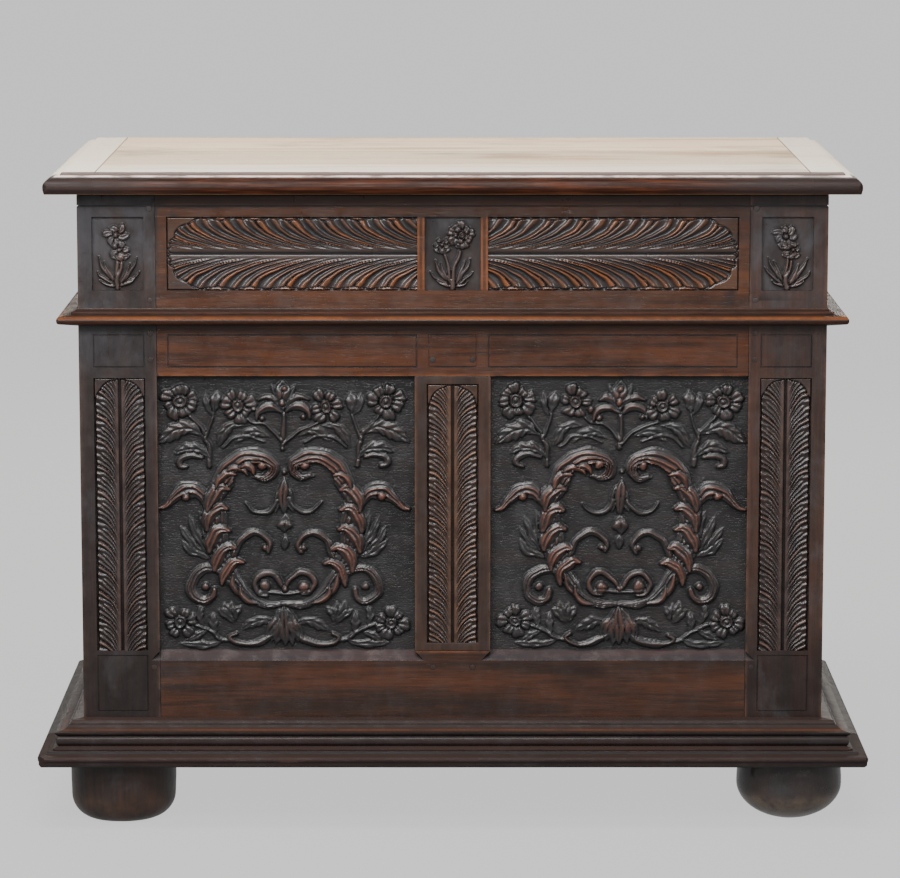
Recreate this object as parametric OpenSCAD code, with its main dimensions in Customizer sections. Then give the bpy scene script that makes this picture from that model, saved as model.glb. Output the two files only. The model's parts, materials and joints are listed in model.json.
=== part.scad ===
/* [Case] */
// Width of the case across its posts
case_w = 1076; // [980:1:1200]
// Depth of the case from its front face to its back face
case_d = 600; // [500:1:720]
// Height of the posts
case_h = 808; // [780:1:880]

/* [Frame] */
// Width of a post, seen from the front
post_w = 112; // [108:1:120]
// Depth of a post, seen from the side
post_d = 56; // [54:1:80]
// Thickness of the front rails and the front muntin
front_rail_t = 32; // [30:1:36]
// Thickness of the side and back rails
side_rail_t = 30; // [28:1:34]
// Height of the frieze rails at the top of the case
frieze_rail_h = 180; // [174:1:190]
// Height of the rails under the middle moulding
upper_rail_h = 86; // [82:1:96]
// Height of the bottom rails
bottom_rail_h = 138; // [128:1:150]
// Width of the front and back muntins
muntin_w = 110; // [104:1:120]

/* [Joints] */
// Thickness of a tenon
tenon_t = 10; // [8:0.5:12]
// Length of a tenon
tenon_l = 40; // [30:1:43]
// Shoulder above and below a tenon
tenon_shoulder = 14; // [12:1:18]
// Gap round a tenon in its mortise
tenon_gap = 0.2; // [0.1:0.05:0.4]
// Radius of the wooden pegs that lock the tenons
peg_r = 4; // [3:0.25:5]
// Depth that a peg is driven to
peg_depth = 26; // [24:1:28]

/* [Panels] */
// Depth from the front rails' faces to the ground of a carved panel
panel_recess = 13; // [10:1:14]
// Thickness of a front panel
panel_t = 16; // [14:1:17]
// Thickness of a side or back panel
plain_panel_t = 14; // [12:1:16]
// Thickness of the tongue round a panel
tongue_t = 7; // [6:0.5:9]
// Depth of the groove that takes a panel's tongue
groove_depth = 10; // [8:1:12]
// Gap between a panel and its frame
panel_gap = 0.3; // [0.2:0.1:0.8]
// Width of the bevel round a side panel's raised field
field_bevel = 34; // [20:1:50]
// Height of a side panel's raised field
field_rise = 4; // [2:0.5:4]

/* [Carving] */
// Depth of the pockets that hold the carved work
carve_depth = 7; // [5:0.5:8]
// Width of the leaf bands and flower squares on the posts and muntin
band_w = 74; // [68:1:76]
// Plain margin outside a post's leaf band
band_margin = 21; // [18:1:24]
// Height of the carved fields in the frieze
frieze_field_h = 106; // [90:1:112]
// Plain margin at the outer end of a leaf field in the frieze
frieze_end_margin = 16; // [12:1:24]
// Plain bar between a leaf field and the middle flower
frieze_bar_w = 11; // [8:1:16]
// Width of the middle flower field
frieze_flower_w = 80; // [72:1:86]
// Plain strip above the frieze fields, up to the top band
frieze_margin = 17; // [12:1:20]
// Plain strip above a post's leaf band
band_top_margin = 3; // [2:0.5:8]
// Plain strip between an end of the muntin's leaf band and a rail
muntin_margin = 12; // [6:1:16]
// Width of an incised line
line_w = 1.8; // [1.2:0.1:2.4]
// Depth of an incised line
line_depth = 1.4; // [0.8:0.1:2]
// Height of the incised fields on the upper rail
incised_h = 48; // [40:1:50]
// Height of the top band of the case
top_band_h = 19; // [16:1:24]
// Radius of the rounded upper edge of the case
top_round_r = 7; // [5:0.5:8]
// Height of the sloping sill under a carved panel
sill_h = 14; // [11:1:20]
// How far the sill's slope runs out into a post or the muntin
sill_runout = 13; // [8:1:15]

/* [Mouldings] */
// Height of the middle moulding
mid_h = 26; // [22:1:30]
// Projection of the middle moulding
mid_out = 29.5; // [24:0.5:34]
// Height of the plinth moulding round the foot of the case
plinth_h = 40; // [36:1:44]
// Projection of the plinth moulding
plinth_out = 43; // [38:1:46]

/* [Base] */
// Thickness of the base boards
base_t = 22; // [18:1:26]
// Projection of the base boards beyond the case
base_out = 64; // [60:1:72]
// Width of the base boards under the case
base_in = 86; // [80:1:100]
// Thickness of the floor boards
floor_t = 18; // [14:1:22]
// Gap between two floor boards
floor_gap = 0.6; // [0.3:0.1:1]

/* [Feet] */
// Height of the feet
foot_h = 97; // [86:1:108]
// Largest radius of a foot
foot_r = 78; // [70:1:82]
// Distance from the case's front and side faces to a front foot's axis
foot_inset = 53; // [46:1:58]
// How much further out than the left one the right front foot stands
foot_right_out = 11; // [0:1:14]
// Distance from the back of the case to a back foot's edge
foot_back_margin = 10; // [4:1:20]
// Radius of a foot's spigot
spigot_r = 20; // [14:1:22]
// Gap round a spigot in its hole
spigot_gap = 0.2; // [0.1:0.1:0.4]

/* [Lid] */
// Thickness of the lid
lid_t = 28; // [26:1:32]
// Overhang of the lid at its moulded edge
lid_out = 45; // [40:1:50]
// Width of the lid's moulded edge
lid_edge_w = 24; // [20:1:28]
// Width of a cleat at an end of the lid
cleat_w = 72; // [60:1:80]
// Width of the lid's front plank
front_plank_w = 178; // [140:1:220]
// Width of the lid's back plank
back_plank_w = 245; // [200:1:280]
// Length of the tongue that a cleat holds
cleat_tongue_l = 18; // [12:1:24]
// Thickness of the tongue that a cleat holds
cleat_tongue_t = 8; // [6:0.5:9]
// Radius of the pegs that lock the tongues in the cleats
cleat_peg_r = 3.5; // [2.5:0.25:4.5]
// Depth that a cleat's peg is driven to, from below
cleat_peg_depth = 22; // [20:1:24]

/* [Hinges] */
// Distance from the side of the case to the middle of a hinge
hinge_inset = 208; // [168:1:258]
// Width of a hinge leaf
leaf_w = 36; // [30:1:44]
// Thickness of a hinge leaf
leaf_t = 3; // [2.5:0.25:4]
// Length of the strap under the lid
strap_l = 300; // [220:1:360]
// Length of the plate on the back of the case
plate_l = 84; // [70:1:100]
// Outer radius of a hinge knuckle
knuckle_r = 6; // [5.5:0.25:7]
// Radius of a hinge pin
hinge_pin_r = 2.5; // [2:0.1:3]
// Running gap round a hinge pin
pin_gap = 0.05; // [0.02:0.01:0.09]
// Gap between two knuckles
knuckle_gap = 0.4; // [0.3:0.05:0.8]
// Radius of a nail's shank
nail_r = 1.5; // [1.2:0.1:1.8]
// Radius of a nail's head
nail_head_r = 4; // [3.5:0.25:5]
// Length of a nail's shank
nail_l = 17; // [14:1:19]

/* [Hidden] */
$fn = 64;

walnut = "#4a2a1c";
dark_walnut = "#33231d";
black_walnut = "#2a2524";
worn_walnut = "#6b3a1f";
pale_top = "#cdbfae";
plain_oak = "#7a5c3e";
iron = "#3a3a3c";

// How far a cut runs past the surface that it opens
past = 1;
// Steps in each curved part of a moulding's outline
arc_steps = 6;
// Gap between a hinge's barrel and the back of the case
barrel_gap = 0.3;
// Least gap between pieces that only lie beside each other
seat_gap = 0.3;
// Gap round the bodies of pegs and nails in their holes
shank_gap = 0.05;
// Room between the end of a panel's tongue and the bottom of its groove
tongue_slack = 1;
// Thickness of a nail's head
nail_head_t = 1.6;
// Height that a bun foot's lower curve would reach below the floor
foot_sink = 3;

half_w = case_w / 2;
hinge_x = half_w - hinge_inset;
depth_all = base_out + case_d + barrel_gap + 2 * knuckle_r;
front_y = -depth_all / 2 + base_out;
back_y = front_y + case_d;

z_case = foot_h + base_t;
z_lid = z_case + case_h;
z_frieze = z_lid - frieze_rail_h;
z_open_top = z_frieze - upper_rail_h;
z_open_low = z_case + bottom_rail_h;
z_floor_top = z_case + floor_t;

post_x = half_w - post_w;
post_front_y = front_y + post_d;
post_back_y = back_y - post_d;
side_x = half_w - side_rail_t;

z_field_top = z_lid - top_band_h - frieze_margin;
z_field_low = z_field_top - frieze_field_h;
z_mid_low = z_frieze - mid_h / 2;
z_incised_low = (z_open_top + z_mid_low - incised_h) / 2;
band_x0 = half_w - band_margin - band_w;
band_x1 = half_w - band_margin;
leaf_x0 = frieze_flower_w / 2 + frieze_bar_w;
leaf_x1 = post_x - frieze_end_margin;

lid_front_y = front_y - lid_out;
lid_half_w = half_w + lid_out;
cleat_x = lid_half_w - cleat_w;
plank_front_edge = lid_front_y + front_plank_w;
plank_back_edge = back_y - back_plank_w;

hinge_y = back_y + barrel_gap + knuckle_r;
hinge_z = z_lid + leaf_t - knuckle_r;
knuckle_l = leaf_w / 3;

// A block from its two opposite corners
module block(x0, x1, y0, y1, z0, z1) {
    translate([x0, y0, z0]) cube([x1 - x0, y1 - y0, z1 - z0]);
}

// Points on an elliptical arc
function arc(cx, cy, rx, ry, a0, a1, n = arc_steps) =
    [for (i = [0:n]) let (a = a0 + (a1 - a0) * i / n) [cx + rx * cos(a), cy + ry * sin(a)]];

// Outline of the middle moulding: distance out from the case, and height
mid_profile = concat(
    [[0, 0]],
    arc(mid_out - 6, mid_h * 0.4, 6, mid_h * 0.22, -75, 80),
    [[9, mid_h * 0.69], [9, mid_h * 0.83]],
    arc(9, mid_h, 8, mid_h * 0.17, 265, 180),
    [[0, mid_h]]);

// Outline of the plinth moulding
plinth_profile = concat(
    [[0, 0], [plinth_out, 0], [plinth_out, plinth_h * 0.04]],
    arc(plinth_out - 10, plinth_h * 0.3, 4.5, plinth_h * 0.19, -70, 70),
    [[plinth_out - 4, plinth_h * 0.57], [plinth_out - 4, plinth_h * 0.63]],
    arc(plinth_out - 4, plinth_h * 0.875, 19, plinth_h * 0.24, 265, 190),
    arc(plinth_out - 29, plinth_h * 0.825, 4.5, plinth_h * 0.15, 0, 85),
    [[0, plinth_h]]);

// Outline of the lid's moulded edge, outwards from the end of its flat top
lid_profile = concat(
    [[lid_edge_w - 3, 0]],
    arc(2, lid_t * 0.33, lid_edge_w - 2, lid_t * 0.56, -20, 86, 9),
    [[0, lid_t * 0.89], [0, lid_t]]);

// Outline of the base boards' nose, outwards from the end of their flat top
base_edge_w = 20;
base_profile = concat(
    [[base_edge_w - 6, 0], [base_edge_w - 2, base_t * 0.16]],
    arc(base_edge_w - 5, base_t * 0.52, 5, base_t * 0.23, -50, 90),
    [[6.5, base_t * 0.84], [5.5, base_t]]);

// A flat outline of distance out and height, set to run along the front, outwards to the front
module along_front(half_length) {
    translate([-half_length, 0, 0]) rotate([90, 0, 90]) mirror([1, 0])
        linear_extrude(2 * half_length) children();
}

// The same outline, set to run along the right side, outwards to the right
module along_right(y0, y1) {
    translate([0, y1, 0]) rotate([90, 0, 0]) linear_extrude(y1 - y0) children();
}

// A moulding along the front, with its ends mitred
module front_moulding(profile, out, z) {
    intersection() {
        translate([0, front_y, z]) along_front(half_w + out + past) polygon(profile);
        translate([0, 0, z - past]) linear_extrude(400)
            polygon([[-half_w, front_y], [half_w, front_y],
                     [half_w + 2 * out, front_y - 2 * out], [-half_w - 2 * out, front_y - 2 * out]]);
    }
}

// A moulding along the right side, mitred at the front and square at the back
module right_moulding(profile, out, z) {
    intersection() {
        translate([half_w, 0, z]) along_right(front_y - out - past, back_y) polygon(profile);
        translate([0, 0, z - past]) linear_extrude(400)
            polygon([[half_w, front_y], [half_w + 2 * out, front_y - 2 * out],
                     [half_w + 2 * out, back_y], [half_w, back_y]]);
    }
}

module to_left() { mirror([1, 0, 0]) children(); }

// An outline of a right half's edge, closed with its mirror image at the left
function both_sides(outline) = concat(outline,
    [for (i = [len(outline) - 1:-1:0]) [-outline[i][0], outline[i][1]]]);

// A groove along the four sides of a rectangle on a face at the front
module incised_rectangle(x0, x1, z0, z1) {
    for (z = [z0, z1 - line_w])
        block(x0, x1, front_y - past, front_y + line_depth, z, z + line_w);
    for (x = [x0, x1 - line_w])
        block(x, x + line_w, front_y - past, front_y + line_depth, z0, z1);
}

// The pocket for a piece of carved work
module carve_pocket(x0, x1, z0, z1) {
    block(x0, x1, front_y - past, front_y + carve_depth, z0, z1);
}

// What is cut from the top of the case on its front and sides: a quirk under the band, and a rounded edge
module top_band_cut() {
    quirk = 2.4;
    top_round = concat(
        [[past, -top_round_r]],
        arc(-top_round_r * 0.6, -top_round_r, top_round_r * 0.6, top_round_r, 0, 90),
        [[-top_round_r * 0.6, past], [past, past]]);
    z_quirk = z_lid - top_band_h - quirk;
    translate([0, front_y, z_lid]) along_front(half_w + past) polygon(top_round);
    block(-half_w - past, half_w + past, front_y - past, front_y + quirk, z_quirk, z_quirk + quirk);
    for (side = [0, 1]) mirror([side, 0, 0]) {
        translate([half_w, 0, z_lid]) along_right(front_y - past, back_y + past) polygon(top_round);
        block(half_w - quirk, half_w + past, front_y - past, back_y + past, z_quirk, z_quirk + quirk);
    }
}

// Tenons of a front or back rail, which run into the right post; y0 is the tenon's front face
module rail_tenon(z0, h, y0, grow = 0) {
    block(post_x - past, post_x + tenon_l + grow, y0 - grow, y0 + tenon_t + grow,
        z0 + tenon_shoulder - grow, z0 + h - tenon_shoulder + grow);
}

// Tenons of a right side rail, which run into its front and back posts
module side_tenons(z0, h, grow = 0) {
    x0 = half_w - side_rail_t / 2 - tenon_t / 2;
    for (y = [[post_front_y - tenon_l - grow, post_front_y + past],
              [post_back_y - past, post_back_y + tenon_l + grow]])
        block(x0 - grow, x0 + tenon_t + grow, y[0], y[1],
            z0 + tenon_shoulder - grow, z0 + h - tenon_shoulder + grow);
}

front_tenon_y = front_y + front_rail_t / 2 - tenon_t / 2;
back_tenon_y = back_y - side_rail_t / 2 - tenon_t / 2;

// Tenons at both ends of a muntin whose tenon starts at y0, between the rails at z_low and z_high
module muntin_tenons(y0, z_low, z_high, grow = 0) {
    w = muntin_w / 2 - tenon_shoulder;
    block(-w - grow, w + grow, y0 - grow, y0 + tenon_t + grow, z_low - tenon_l - grow, z_low + past);
    block(-w - grow, w + grow, y0 - grow, y0 + tenon_t + grow, z_high - past, z_high + tenon_l + grow);
}

// The room that the right front panel's tongue has in its grooves
module front_panel_grooves() {
    y0 = front_y + panel_recess + (panel_t - tongue_t) / 2 - panel_gap;
    block(muntin_w / 2 - groove_depth, post_x + groove_depth, y0, y0 + tongue_t + 2 * panel_gap,
        z_open_low - groove_depth, z_open_top + groove_depth);
}

back_panel_y = back_y - side_rail_t / 2 - plain_panel_t / 2;
side_panel_x = half_w - side_rail_t / 2 - plain_panel_t / 2;

module back_panel_grooves() {
    y0 = back_y - side_rail_t / 2 - tongue_t / 2 - panel_gap;
    block(muntin_w / 2 - groove_depth, post_x + groove_depth, y0, y0 + tongue_t + 2 * panel_gap,
        z_open_low - groove_depth, z_frieze + groove_depth);
}

module side_panel_grooves() {
    x0 = half_w - side_rail_t / 2 - tongue_t / 2 - panel_gap;
    block(x0, x0 + tongue_t + 2 * panel_gap, post_front_y - groove_depth, post_back_y + groove_depth,
        z_open_low - groove_depth, z_open_top + groove_depth);
}

// The sill's slope on the right half of the front, with its ends run out; it may reach above the rail
module sill_cut(above = 0) {
    x0 = muntin_w / 2;
    z_low = z_open_low - sill_h;
    intersection() {
        translate([0, front_y + panel_recess + past, 0]) rotate([90, 0, 0])
            linear_extrude(panel_recess + 3 * past)
                polygon([[x0, z_open_low + above], [x0, z_open_low], [x0 - sill_runout, z_low],
                         [post_x + sill_runout, z_low], [post_x, z_open_low],
                         [post_x, z_open_low + above]]);
        translate([x0 - sill_runout - past, 0, 0]) rotate([90, 0, 90])
            linear_extrude(post_x - x0 + 2 * sill_runout + 2 * past)
                polygon([[front_y + panel_recess, z_open_low + above], [front_y + panel_recess, z_open_low],
                         [front_y, z_low], [front_y - past, z_low - past],
                         [front_y - past, z_open_low + above]]);
    }
}

// Heights of the pegs in a rail that starts at z0
function peg_levels(z0, h) = [z0 + tenon_shoulder + 2.5 * peg_r, z0 + h - tenon_shoulder - 2.5 * peg_r];
peg_x = (post_x + band_x0) / 2;
peg_offset = peg_x - post_x;
front_rails = [[z_frieze, frieze_rail_h], [z_open_top, upper_rail_h], [z_case, bottom_rail_h]];
back_rails = [[z_frieze, frieze_rail_h], [z_case, bottom_rail_h]];
muntin_peg_x = (muntin_w / 2 - tenon_shoulder) * 0.7;

// A peg driven in from the front, the back or the right side
module peg_from_front(x, z, r) {
    translate([x, front_y, z]) rotate([-90, 0, 0]) cylinder(r = r, h = peg_depth);
}
module peg_from_back(x, z, r) {
    translate([x, back_y, z]) rotate([90, 0, 0]) cylinder(r = r, h = peg_depth);
}
module peg_from_right(y, z, r) {
    translate([half_w, y, z]) rotate([0, -90, 0]) cylinder(r = r, h = peg_depth);
}

// Pegs at the front: through the rails' tenons in the posts, and through the muntin's tenons in the rails
module front_pegs(r) {
    for (side = [-1, 1], rail = front_rails, z = peg_levels(rail[0], rail[1]))
        peg_from_front(side * peg_x, z, r);
    for (side = [-1, 1], z = [z_open_low - tenon_l * 0.6, z_open_top + tenon_l * 0.6])
        peg_from_front(side * muntin_peg_x, z, r);
}

module back_pegs(r) {
    for (side = [-1, 1], rail = back_rails, z = peg_levels(rail[0], rail[1]))
        peg_from_back(side * peg_x, z, r);
    for (side = [-1, 1], z = [z_open_low - tenon_l * 0.6, z_frieze + tenon_l * 0.6])
        peg_from_back(side * muntin_peg_x, z, r);
}

module right_pegs(r) {
    for (y = [post_front_y - peg_offset - peg_r, post_back_y + peg_offset + peg_r], rail = front_rails,
         z = peg_levels(rail[0], rail[1]))
        peg_from_right(y, z, r);
}

// Feet

// Outline of a bun foot, whose lower curve is worn flat at the floor
bun_z = foot_h * 0.52;
bun_outline = concat([[0, 0]],
    arc(0, bun_z, foot_r, bun_z + foot_sink, -asin(bun_z / (bun_z + foot_sink)), 0, 12),
    arc(0, bun_z, foot_r, foot_h * 1.2, 5, 19, 4),
    [[foot_r * 0.92, foot_h], [0, foot_h]]);

// Outline of the straighter foot at the left front corner
straight_outline = concat([[0, 0]],
    arc(foot_r * 0.57, foot_h * 0.36, foot_r * 0.42, foot_h * 0.36, -90, 0, 10),
    [[foot_r, foot_h * 0.6], [foot_r, foot_h], [0, foot_h]]);

module foot(outline) {
    color(black_walnut) {
        rotate_extrude($fn = 96) polygon(outline);
        translate([0, 0, foot_h - past]) cylinder(r = spigot_r, h = base_t + past);
    }
}

foot_x = half_w - foot_inset;
foot_front_y = front_y + foot_inset;
foot_back_y = back_y - foot_r - foot_back_margin;
foot_places = [[-foot_x, foot_front_y], [foot_x + foot_right_out, foot_front_y],
               [-foot_x, foot_back_y], [foot_x, foot_back_y]];

module foot_front_left() { translate(foot_places[0]) foot(straight_outline); }
module foot_front_right() { translate(foot_places[1]) foot(bun_outline); }
module foot_back_left() { translate(foot_places[2]) foot(bun_outline); }
module foot_back_right() { translate(foot_places[3]) foot(bun_outline); }

module spigot_holes() {
    for (place = foot_places) translate([place.x, place.y, foot_h - past])
        cylinder(r = spigot_r + spigot_gap, h = base_t + 2 * past);
}

// Base boards

base_flat = base_out - base_edge_w;
floor_nail_x = [for (share = [-0.36, -0.14, 0.14, 0.36]) share * case_w];

// Nails that hold the floor boards down on the front and back base boards
module floor_nail_set(r, head_r) {
    for (x = floor_nail_x, y = [front_y + front_rail_t + 16, back_y - side_rail_t - 16])
        translate([x, y, 0]) {
            translate([0, 0, z_case - base_t * 0.7])
                cylinder(r = r, h = floor_t + base_t * 0.7 + nail_head_t);
            translate([0, 0, z_floor_top]) cylinder(r = head_r, h = nail_head_t);
        }
}
module floor_nail_holes() { floor_nail_set(nail_r + shank_gap, nail_r + shank_gap); }

// A slab the size of the whole base, with the nose along both its sides
module base_side_bounds() {
    outline = [for (p = base_profile) p + [half_w + base_flat, 0]];
    translate([0, 0, foot_h]) along_right(front_y - base_out - past, back_y) polygon(both_sides(outline));
}

module base_board_front() {
    color(dark_walnut) difference() {
        intersection() {
            translate([0, front_y - base_flat, foot_h]) along_front(half_w + base_out + past)
                polygon(concat([[-base_flat - base_in, 0]], base_profile,
                               [[-base_flat - base_in, base_t]]));
            base_side_bounds();
        }
        spigot_holes();
        floor_nail_holes();
    }
}

module base_board_right() {
    color(dark_walnut) difference() {
        intersection() {
            base_side_bounds();
            block(half_w - base_in, half_w + base_out + past, front_y + base_in, back_y,
                foot_h - past, z_case + past);
        }
        spigot_holes();
    }
}
module base_board_left() { to_left() base_board_right(); }

module base_board_back() {
    color(plain_oak) difference() {
        block(-half_w + base_in, half_w - base_in, back_y - base_in, back_y, foot_h, z_case);
        floor_nail_holes();
    }
}

// Mouldings round the case

module plinth_moulding_front() { color(dark_walnut) front_moulding(plinth_profile, plinth_out, z_case); }
module plinth_moulding_right() { color(dark_walnut) right_moulding(plinth_profile, plinth_out, z_case); }
module plinth_moulding_left() { to_left() plinth_moulding_right(); }

module mid_moulding_front() { color(worn_walnut) front_moulding(mid_profile, mid_out, z_mid_low); }
module mid_moulding_right() { color(worn_walnut) right_moulding(mid_profile, mid_out, z_mid_low); }
module mid_moulding_left() { to_left() mid_moulding_right(); }

// Posts

module post_front_right() {
    color(walnut) difference() {
        block(post_x, half_w, front_y, post_front_y, z_case, z_lid);
        for (rail = front_rails) {
            rail_tenon(rail[0], rail[1], front_tenon_y, tenon_gap);
            side_tenons(rail[0], rail[1], tenon_gap);
        }
        front_panel_grooves();
        side_panel_grooves();
        sill_cut();
        carve_pocket(band_x0, band_x1, z_open_low, z_open_top - band_top_margin);
        carve_pocket(band_x0, band_x1, z_field_low, z_field_top);
        incised_rectangle(band_x0, band_x1, z_incised_low, z_incised_low + incised_h);
        incised_rectangle(band_x0, band_x1, z_case + plinth_h + 8, z_open_low - 6);
        top_band_cut();
        front_pegs(peg_r + shank_gap);
        right_pegs(peg_r + shank_gap);
    }
}
module post_front_left() { to_left() post_front_right(); }

module post_back_right() {
    color(walnut) difference() {
        block(post_x, half_w, post_back_y, back_y, z_case, z_lid);
        for (rail = back_rails)
            rail_tenon(rail[0], rail[1], back_tenon_y, tenon_gap);
        for (rail = front_rails)
            side_tenons(rail[0], rail[1], tenon_gap);
        back_panel_grooves();
        side_panel_grooves();
        top_band_cut();
        back_pegs(peg_r + shank_gap);
        right_pegs(peg_r + shank_gap);
    }
}
module post_back_left() { to_left() post_back_right(); }

// Front frame

// A rail between the front posts, with its tenons
module front_rail(z0, h) {
    block(-post_x, post_x, front_y, front_y + front_rail_t, z0, z0 + h);
    for (side = [0, 1]) mirror([side, 0, 0]) rail_tenon(z0, h, front_tenon_y);
}

module frieze_rail_front() {
    color(walnut) difference() {
        front_rail(z_frieze, frieze_rail_h);
        carve_pocket(-frieze_flower_w / 2, frieze_flower_w / 2, z_field_low, z_field_top);
        for (side = [0, 1]) mirror([side, 0, 0])
            carve_pocket(leaf_x0, leaf_x1, z_field_low, z_field_top);
        top_band_cut();
        front_pegs(peg_r + shank_gap);
    }
}

module upper_rail_front() {
    color(worn_walnut) difference() {
        front_rail(z_open_top, upper_rail_h);
        muntin_tenons(front_tenon_y, z_open_low, z_open_top, tenon_gap);
        for (side = [0, 1]) mirror([side, 0, 0]) {
            front_panel_grooves();
            incised_rectangle(leaf_x0, leaf_x1, z_incised_low, z_incised_low + incised_h);
        }
        incised_rectangle(-band_w / 2 + 2, band_w / 2 - 2, z_incised_low, z_incised_low + incised_h);
        front_pegs(peg_r + shank_gap);
    }
}

module bottom_rail_front() {
    color(worn_walnut) difference() {
        front_rail(z_case, bottom_rail_h);
        muntin_tenons(front_tenon_y, z_open_low, z_open_top, tenon_gap);
        for (side = [0, 1]) mirror([side, 0, 0]) {
            front_panel_grooves();
            sill_cut(past);
        }
        front_pegs(peg_r + shank_gap);
    }
}

module muntin_front() {
    color(walnut) difference() {
        union() {
            block(-muntin_w / 2, muntin_w / 2, front_y, front_y + front_rail_t, z_open_low, z_open_top);
            muntin_tenons(front_tenon_y, z_open_low, z_open_top);
        }
        for (side = [0, 1]) mirror([side, 0, 0]) front_panel_grooves();
        carve_pocket(-band_w / 2, band_w / 2, z_open_low + muntin_margin, z_open_top - muntin_margin);
        front_pegs(peg_r + shank_gap);
    }
}

// A carved panel's board: its ground lies behind the frame's face, and its tongue in the grooves
module front_panel_right() {
    tongue_y = front_y + panel_recess + (panel_t - tongue_t) / 2;
    reach = groove_depth - tongue_slack;
    color(black_walnut) {
        block(muntin_w / 2 + panel_gap, post_x - panel_gap, front_y + panel_recess,
            front_y + panel_recess + panel_t, z_open_low + panel_gap, z_open_top - panel_gap);
        block(muntin_w / 2 - reach, post_x + reach, tongue_y, tongue_y + tongue_t,
            z_open_low - reach, z_open_top + reach);
    }
}
module front_panel_left() { to_left() front_panel_right(); }

// Side frames

module right_rail(z0, h) {
    difference() {
        union() {
            block(side_x, half_w, post_front_y, post_back_y, z0, z0 + h);
            side_tenons(z0, h);
        }
        side_panel_grooves();
        right_pegs(peg_r + shank_gap);
    }
}

module frieze_rail_right() {
    color(walnut) difference() {
        right_rail(z_frieze, frieze_rail_h);
        top_band_cut();
    }
}
module frieze_rail_left() { to_left() frieze_rail_right(); }

module upper_rail_right() { color(walnut) right_rail(z_open_top, upper_rail_h); }
module upper_rail_left() { to_left() upper_rail_right(); }

module bottom_rail_right() { color(walnut) right_rail(z_case, bottom_rail_h); }
module bottom_rail_left() { to_left() bottom_rail_right(); }

// A side panel with a raised and bevelled field
module side_panel_right() {
    reach = groove_depth - tongue_slack;
    tongue_x = half_w - side_rail_t / 2 - tongue_t / 2;
    y = [post_front_y + panel_gap, post_back_y - panel_gap];
    z = [z_open_low + panel_gap, z_open_top - panel_gap];
    face = side_panel_x + plain_panel_t - field_rise;
    color(dark_walnut) {
        block(side_panel_x, face, y[0], y[1], z[0], z[1]);
        block(tongue_x, tongue_x + tongue_t, post_front_y - reach, post_back_y + reach,
            z_open_low - reach, z_open_top + reach);
        intersection() {
            translate([0, 0, z[0]]) linear_extrude(z[1] - z[0]) polygon(field_outline(face, y));
            translate([0, y[1], 0]) rotate([90, 0, 0]) linear_extrude(y[1] - y[0])
                polygon(field_outline(face, z));
        }
    }
}

// Outline of a bevelled field on a face, across the panel between two ends
function field_outline(face, ends) = [
    [face - past, ends[0]], [face, ends[0]], [face + field_rise, ends[0] + field_bevel],
    [face + field_rise, ends[1] - field_bevel], [face, ends[1]], [face - past, ends[1]]];
module side_panel_left() { to_left() side_panel_right(); }

// Back frame

module back_rail(z0, h) {
    block(-post_x, post_x, back_y - side_rail_t, back_y, z0, z0 + h);
    for (side = [0, 1]) mirror([side, 0, 0]) rail_tenon(z0, h, back_tenon_y);
}

module top_rail_back() {
    color(plain_oak) difference() {
        back_rail(z_frieze, frieze_rail_h);
        muntin_tenons(back_tenon_y, z_open_low, z_frieze, tenon_gap);
        for (side = [0, 1]) mirror([side, 0, 0]) back_panel_grooves();
        back_pegs(peg_r + shank_gap);
        plate_nail_set(nail_r + shank_gap, nail_r + shank_gap);
    }
}

module bottom_rail_back() {
    color(plain_oak) difference() {
        back_rail(z_case, bottom_rail_h);
        muntin_tenons(back_tenon_y, z_open_low, z_frieze, tenon_gap);
        for (side = [0, 1]) mirror([side, 0, 0]) back_panel_grooves();
        back_pegs(peg_r + shank_gap);
    }
}

module muntin_back() {
    color(plain_oak) difference() {
        union() {
            block(-muntin_w / 2, muntin_w / 2, back_y - side_rail_t, back_y, z_open_low, z_frieze);
            muntin_tenons(back_tenon_y, z_open_low, z_frieze);
        }
        for (side = [0, 1]) mirror([side, 0, 0]) back_panel_grooves();
        back_pegs(peg_r + shank_gap);
    }
}

module back_panel_right() {
    reach = groove_depth - tongue_slack;
    tongue_y = back_y - side_rail_t / 2 - tongue_t / 2;
    color(plain_oak) {
        block(muntin_w / 2 + panel_gap, post_x - panel_gap, back_panel_y, back_panel_y + plain_panel_t,
            z_open_low + panel_gap, z_frieze - panel_gap);
        block(muntin_w / 2 - reach, post_x + reach, tongue_y, tongue_y + tongue_t,
            z_open_low - reach, z_frieze + reach);
    }
}
module back_panel_left() { to_left() back_panel_right(); }

// Floor

floor_half_w = side_x - seat_gap;
floor_board_w = floor_half_w / 2;

// One of the two floor boards of the right half, counted from the middle
module floor_board(index) {
    x0 = index * floor_board_w;
    color(plain_oak) difference() {
        block(x0 + floor_gap / 2, x0 + floor_board_w - floor_gap / 2, front_y + front_rail_t + seat_gap,
            back_y - side_rail_t - seat_gap, z_case, z_floor_top);
        for (y = [[front_y, post_front_y], [post_back_y, back_y]])
            block(post_x - seat_gap, half_w, y[0] - seat_gap, y[1] + seat_gap, z_case - past,
                z_floor_top + past);
        floor_nail_holes();
    }
}
module floor_board_mid_right() { floor_board(0); }
module floor_board_right() { floor_board(1); }
module floor_board_mid_left() { to_left() floor_board_mid_right(); }
module floor_board_left() { to_left() floor_board_right(); }
module floor_nails() { color(iron) floor_nail_set(nail_r, nail_head_r); }

// Pegs

module joint_pegs_front() { color(worn_walnut) front_pegs(peg_r); }
module joint_pegs_sides() {
    color(walnut) {
        right_pegs(peg_r);
        to_left() right_pegs(peg_r);
    }
}
module joint_pegs_back() { color(plain_oak) back_pegs(peg_r); }

// Lid

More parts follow.
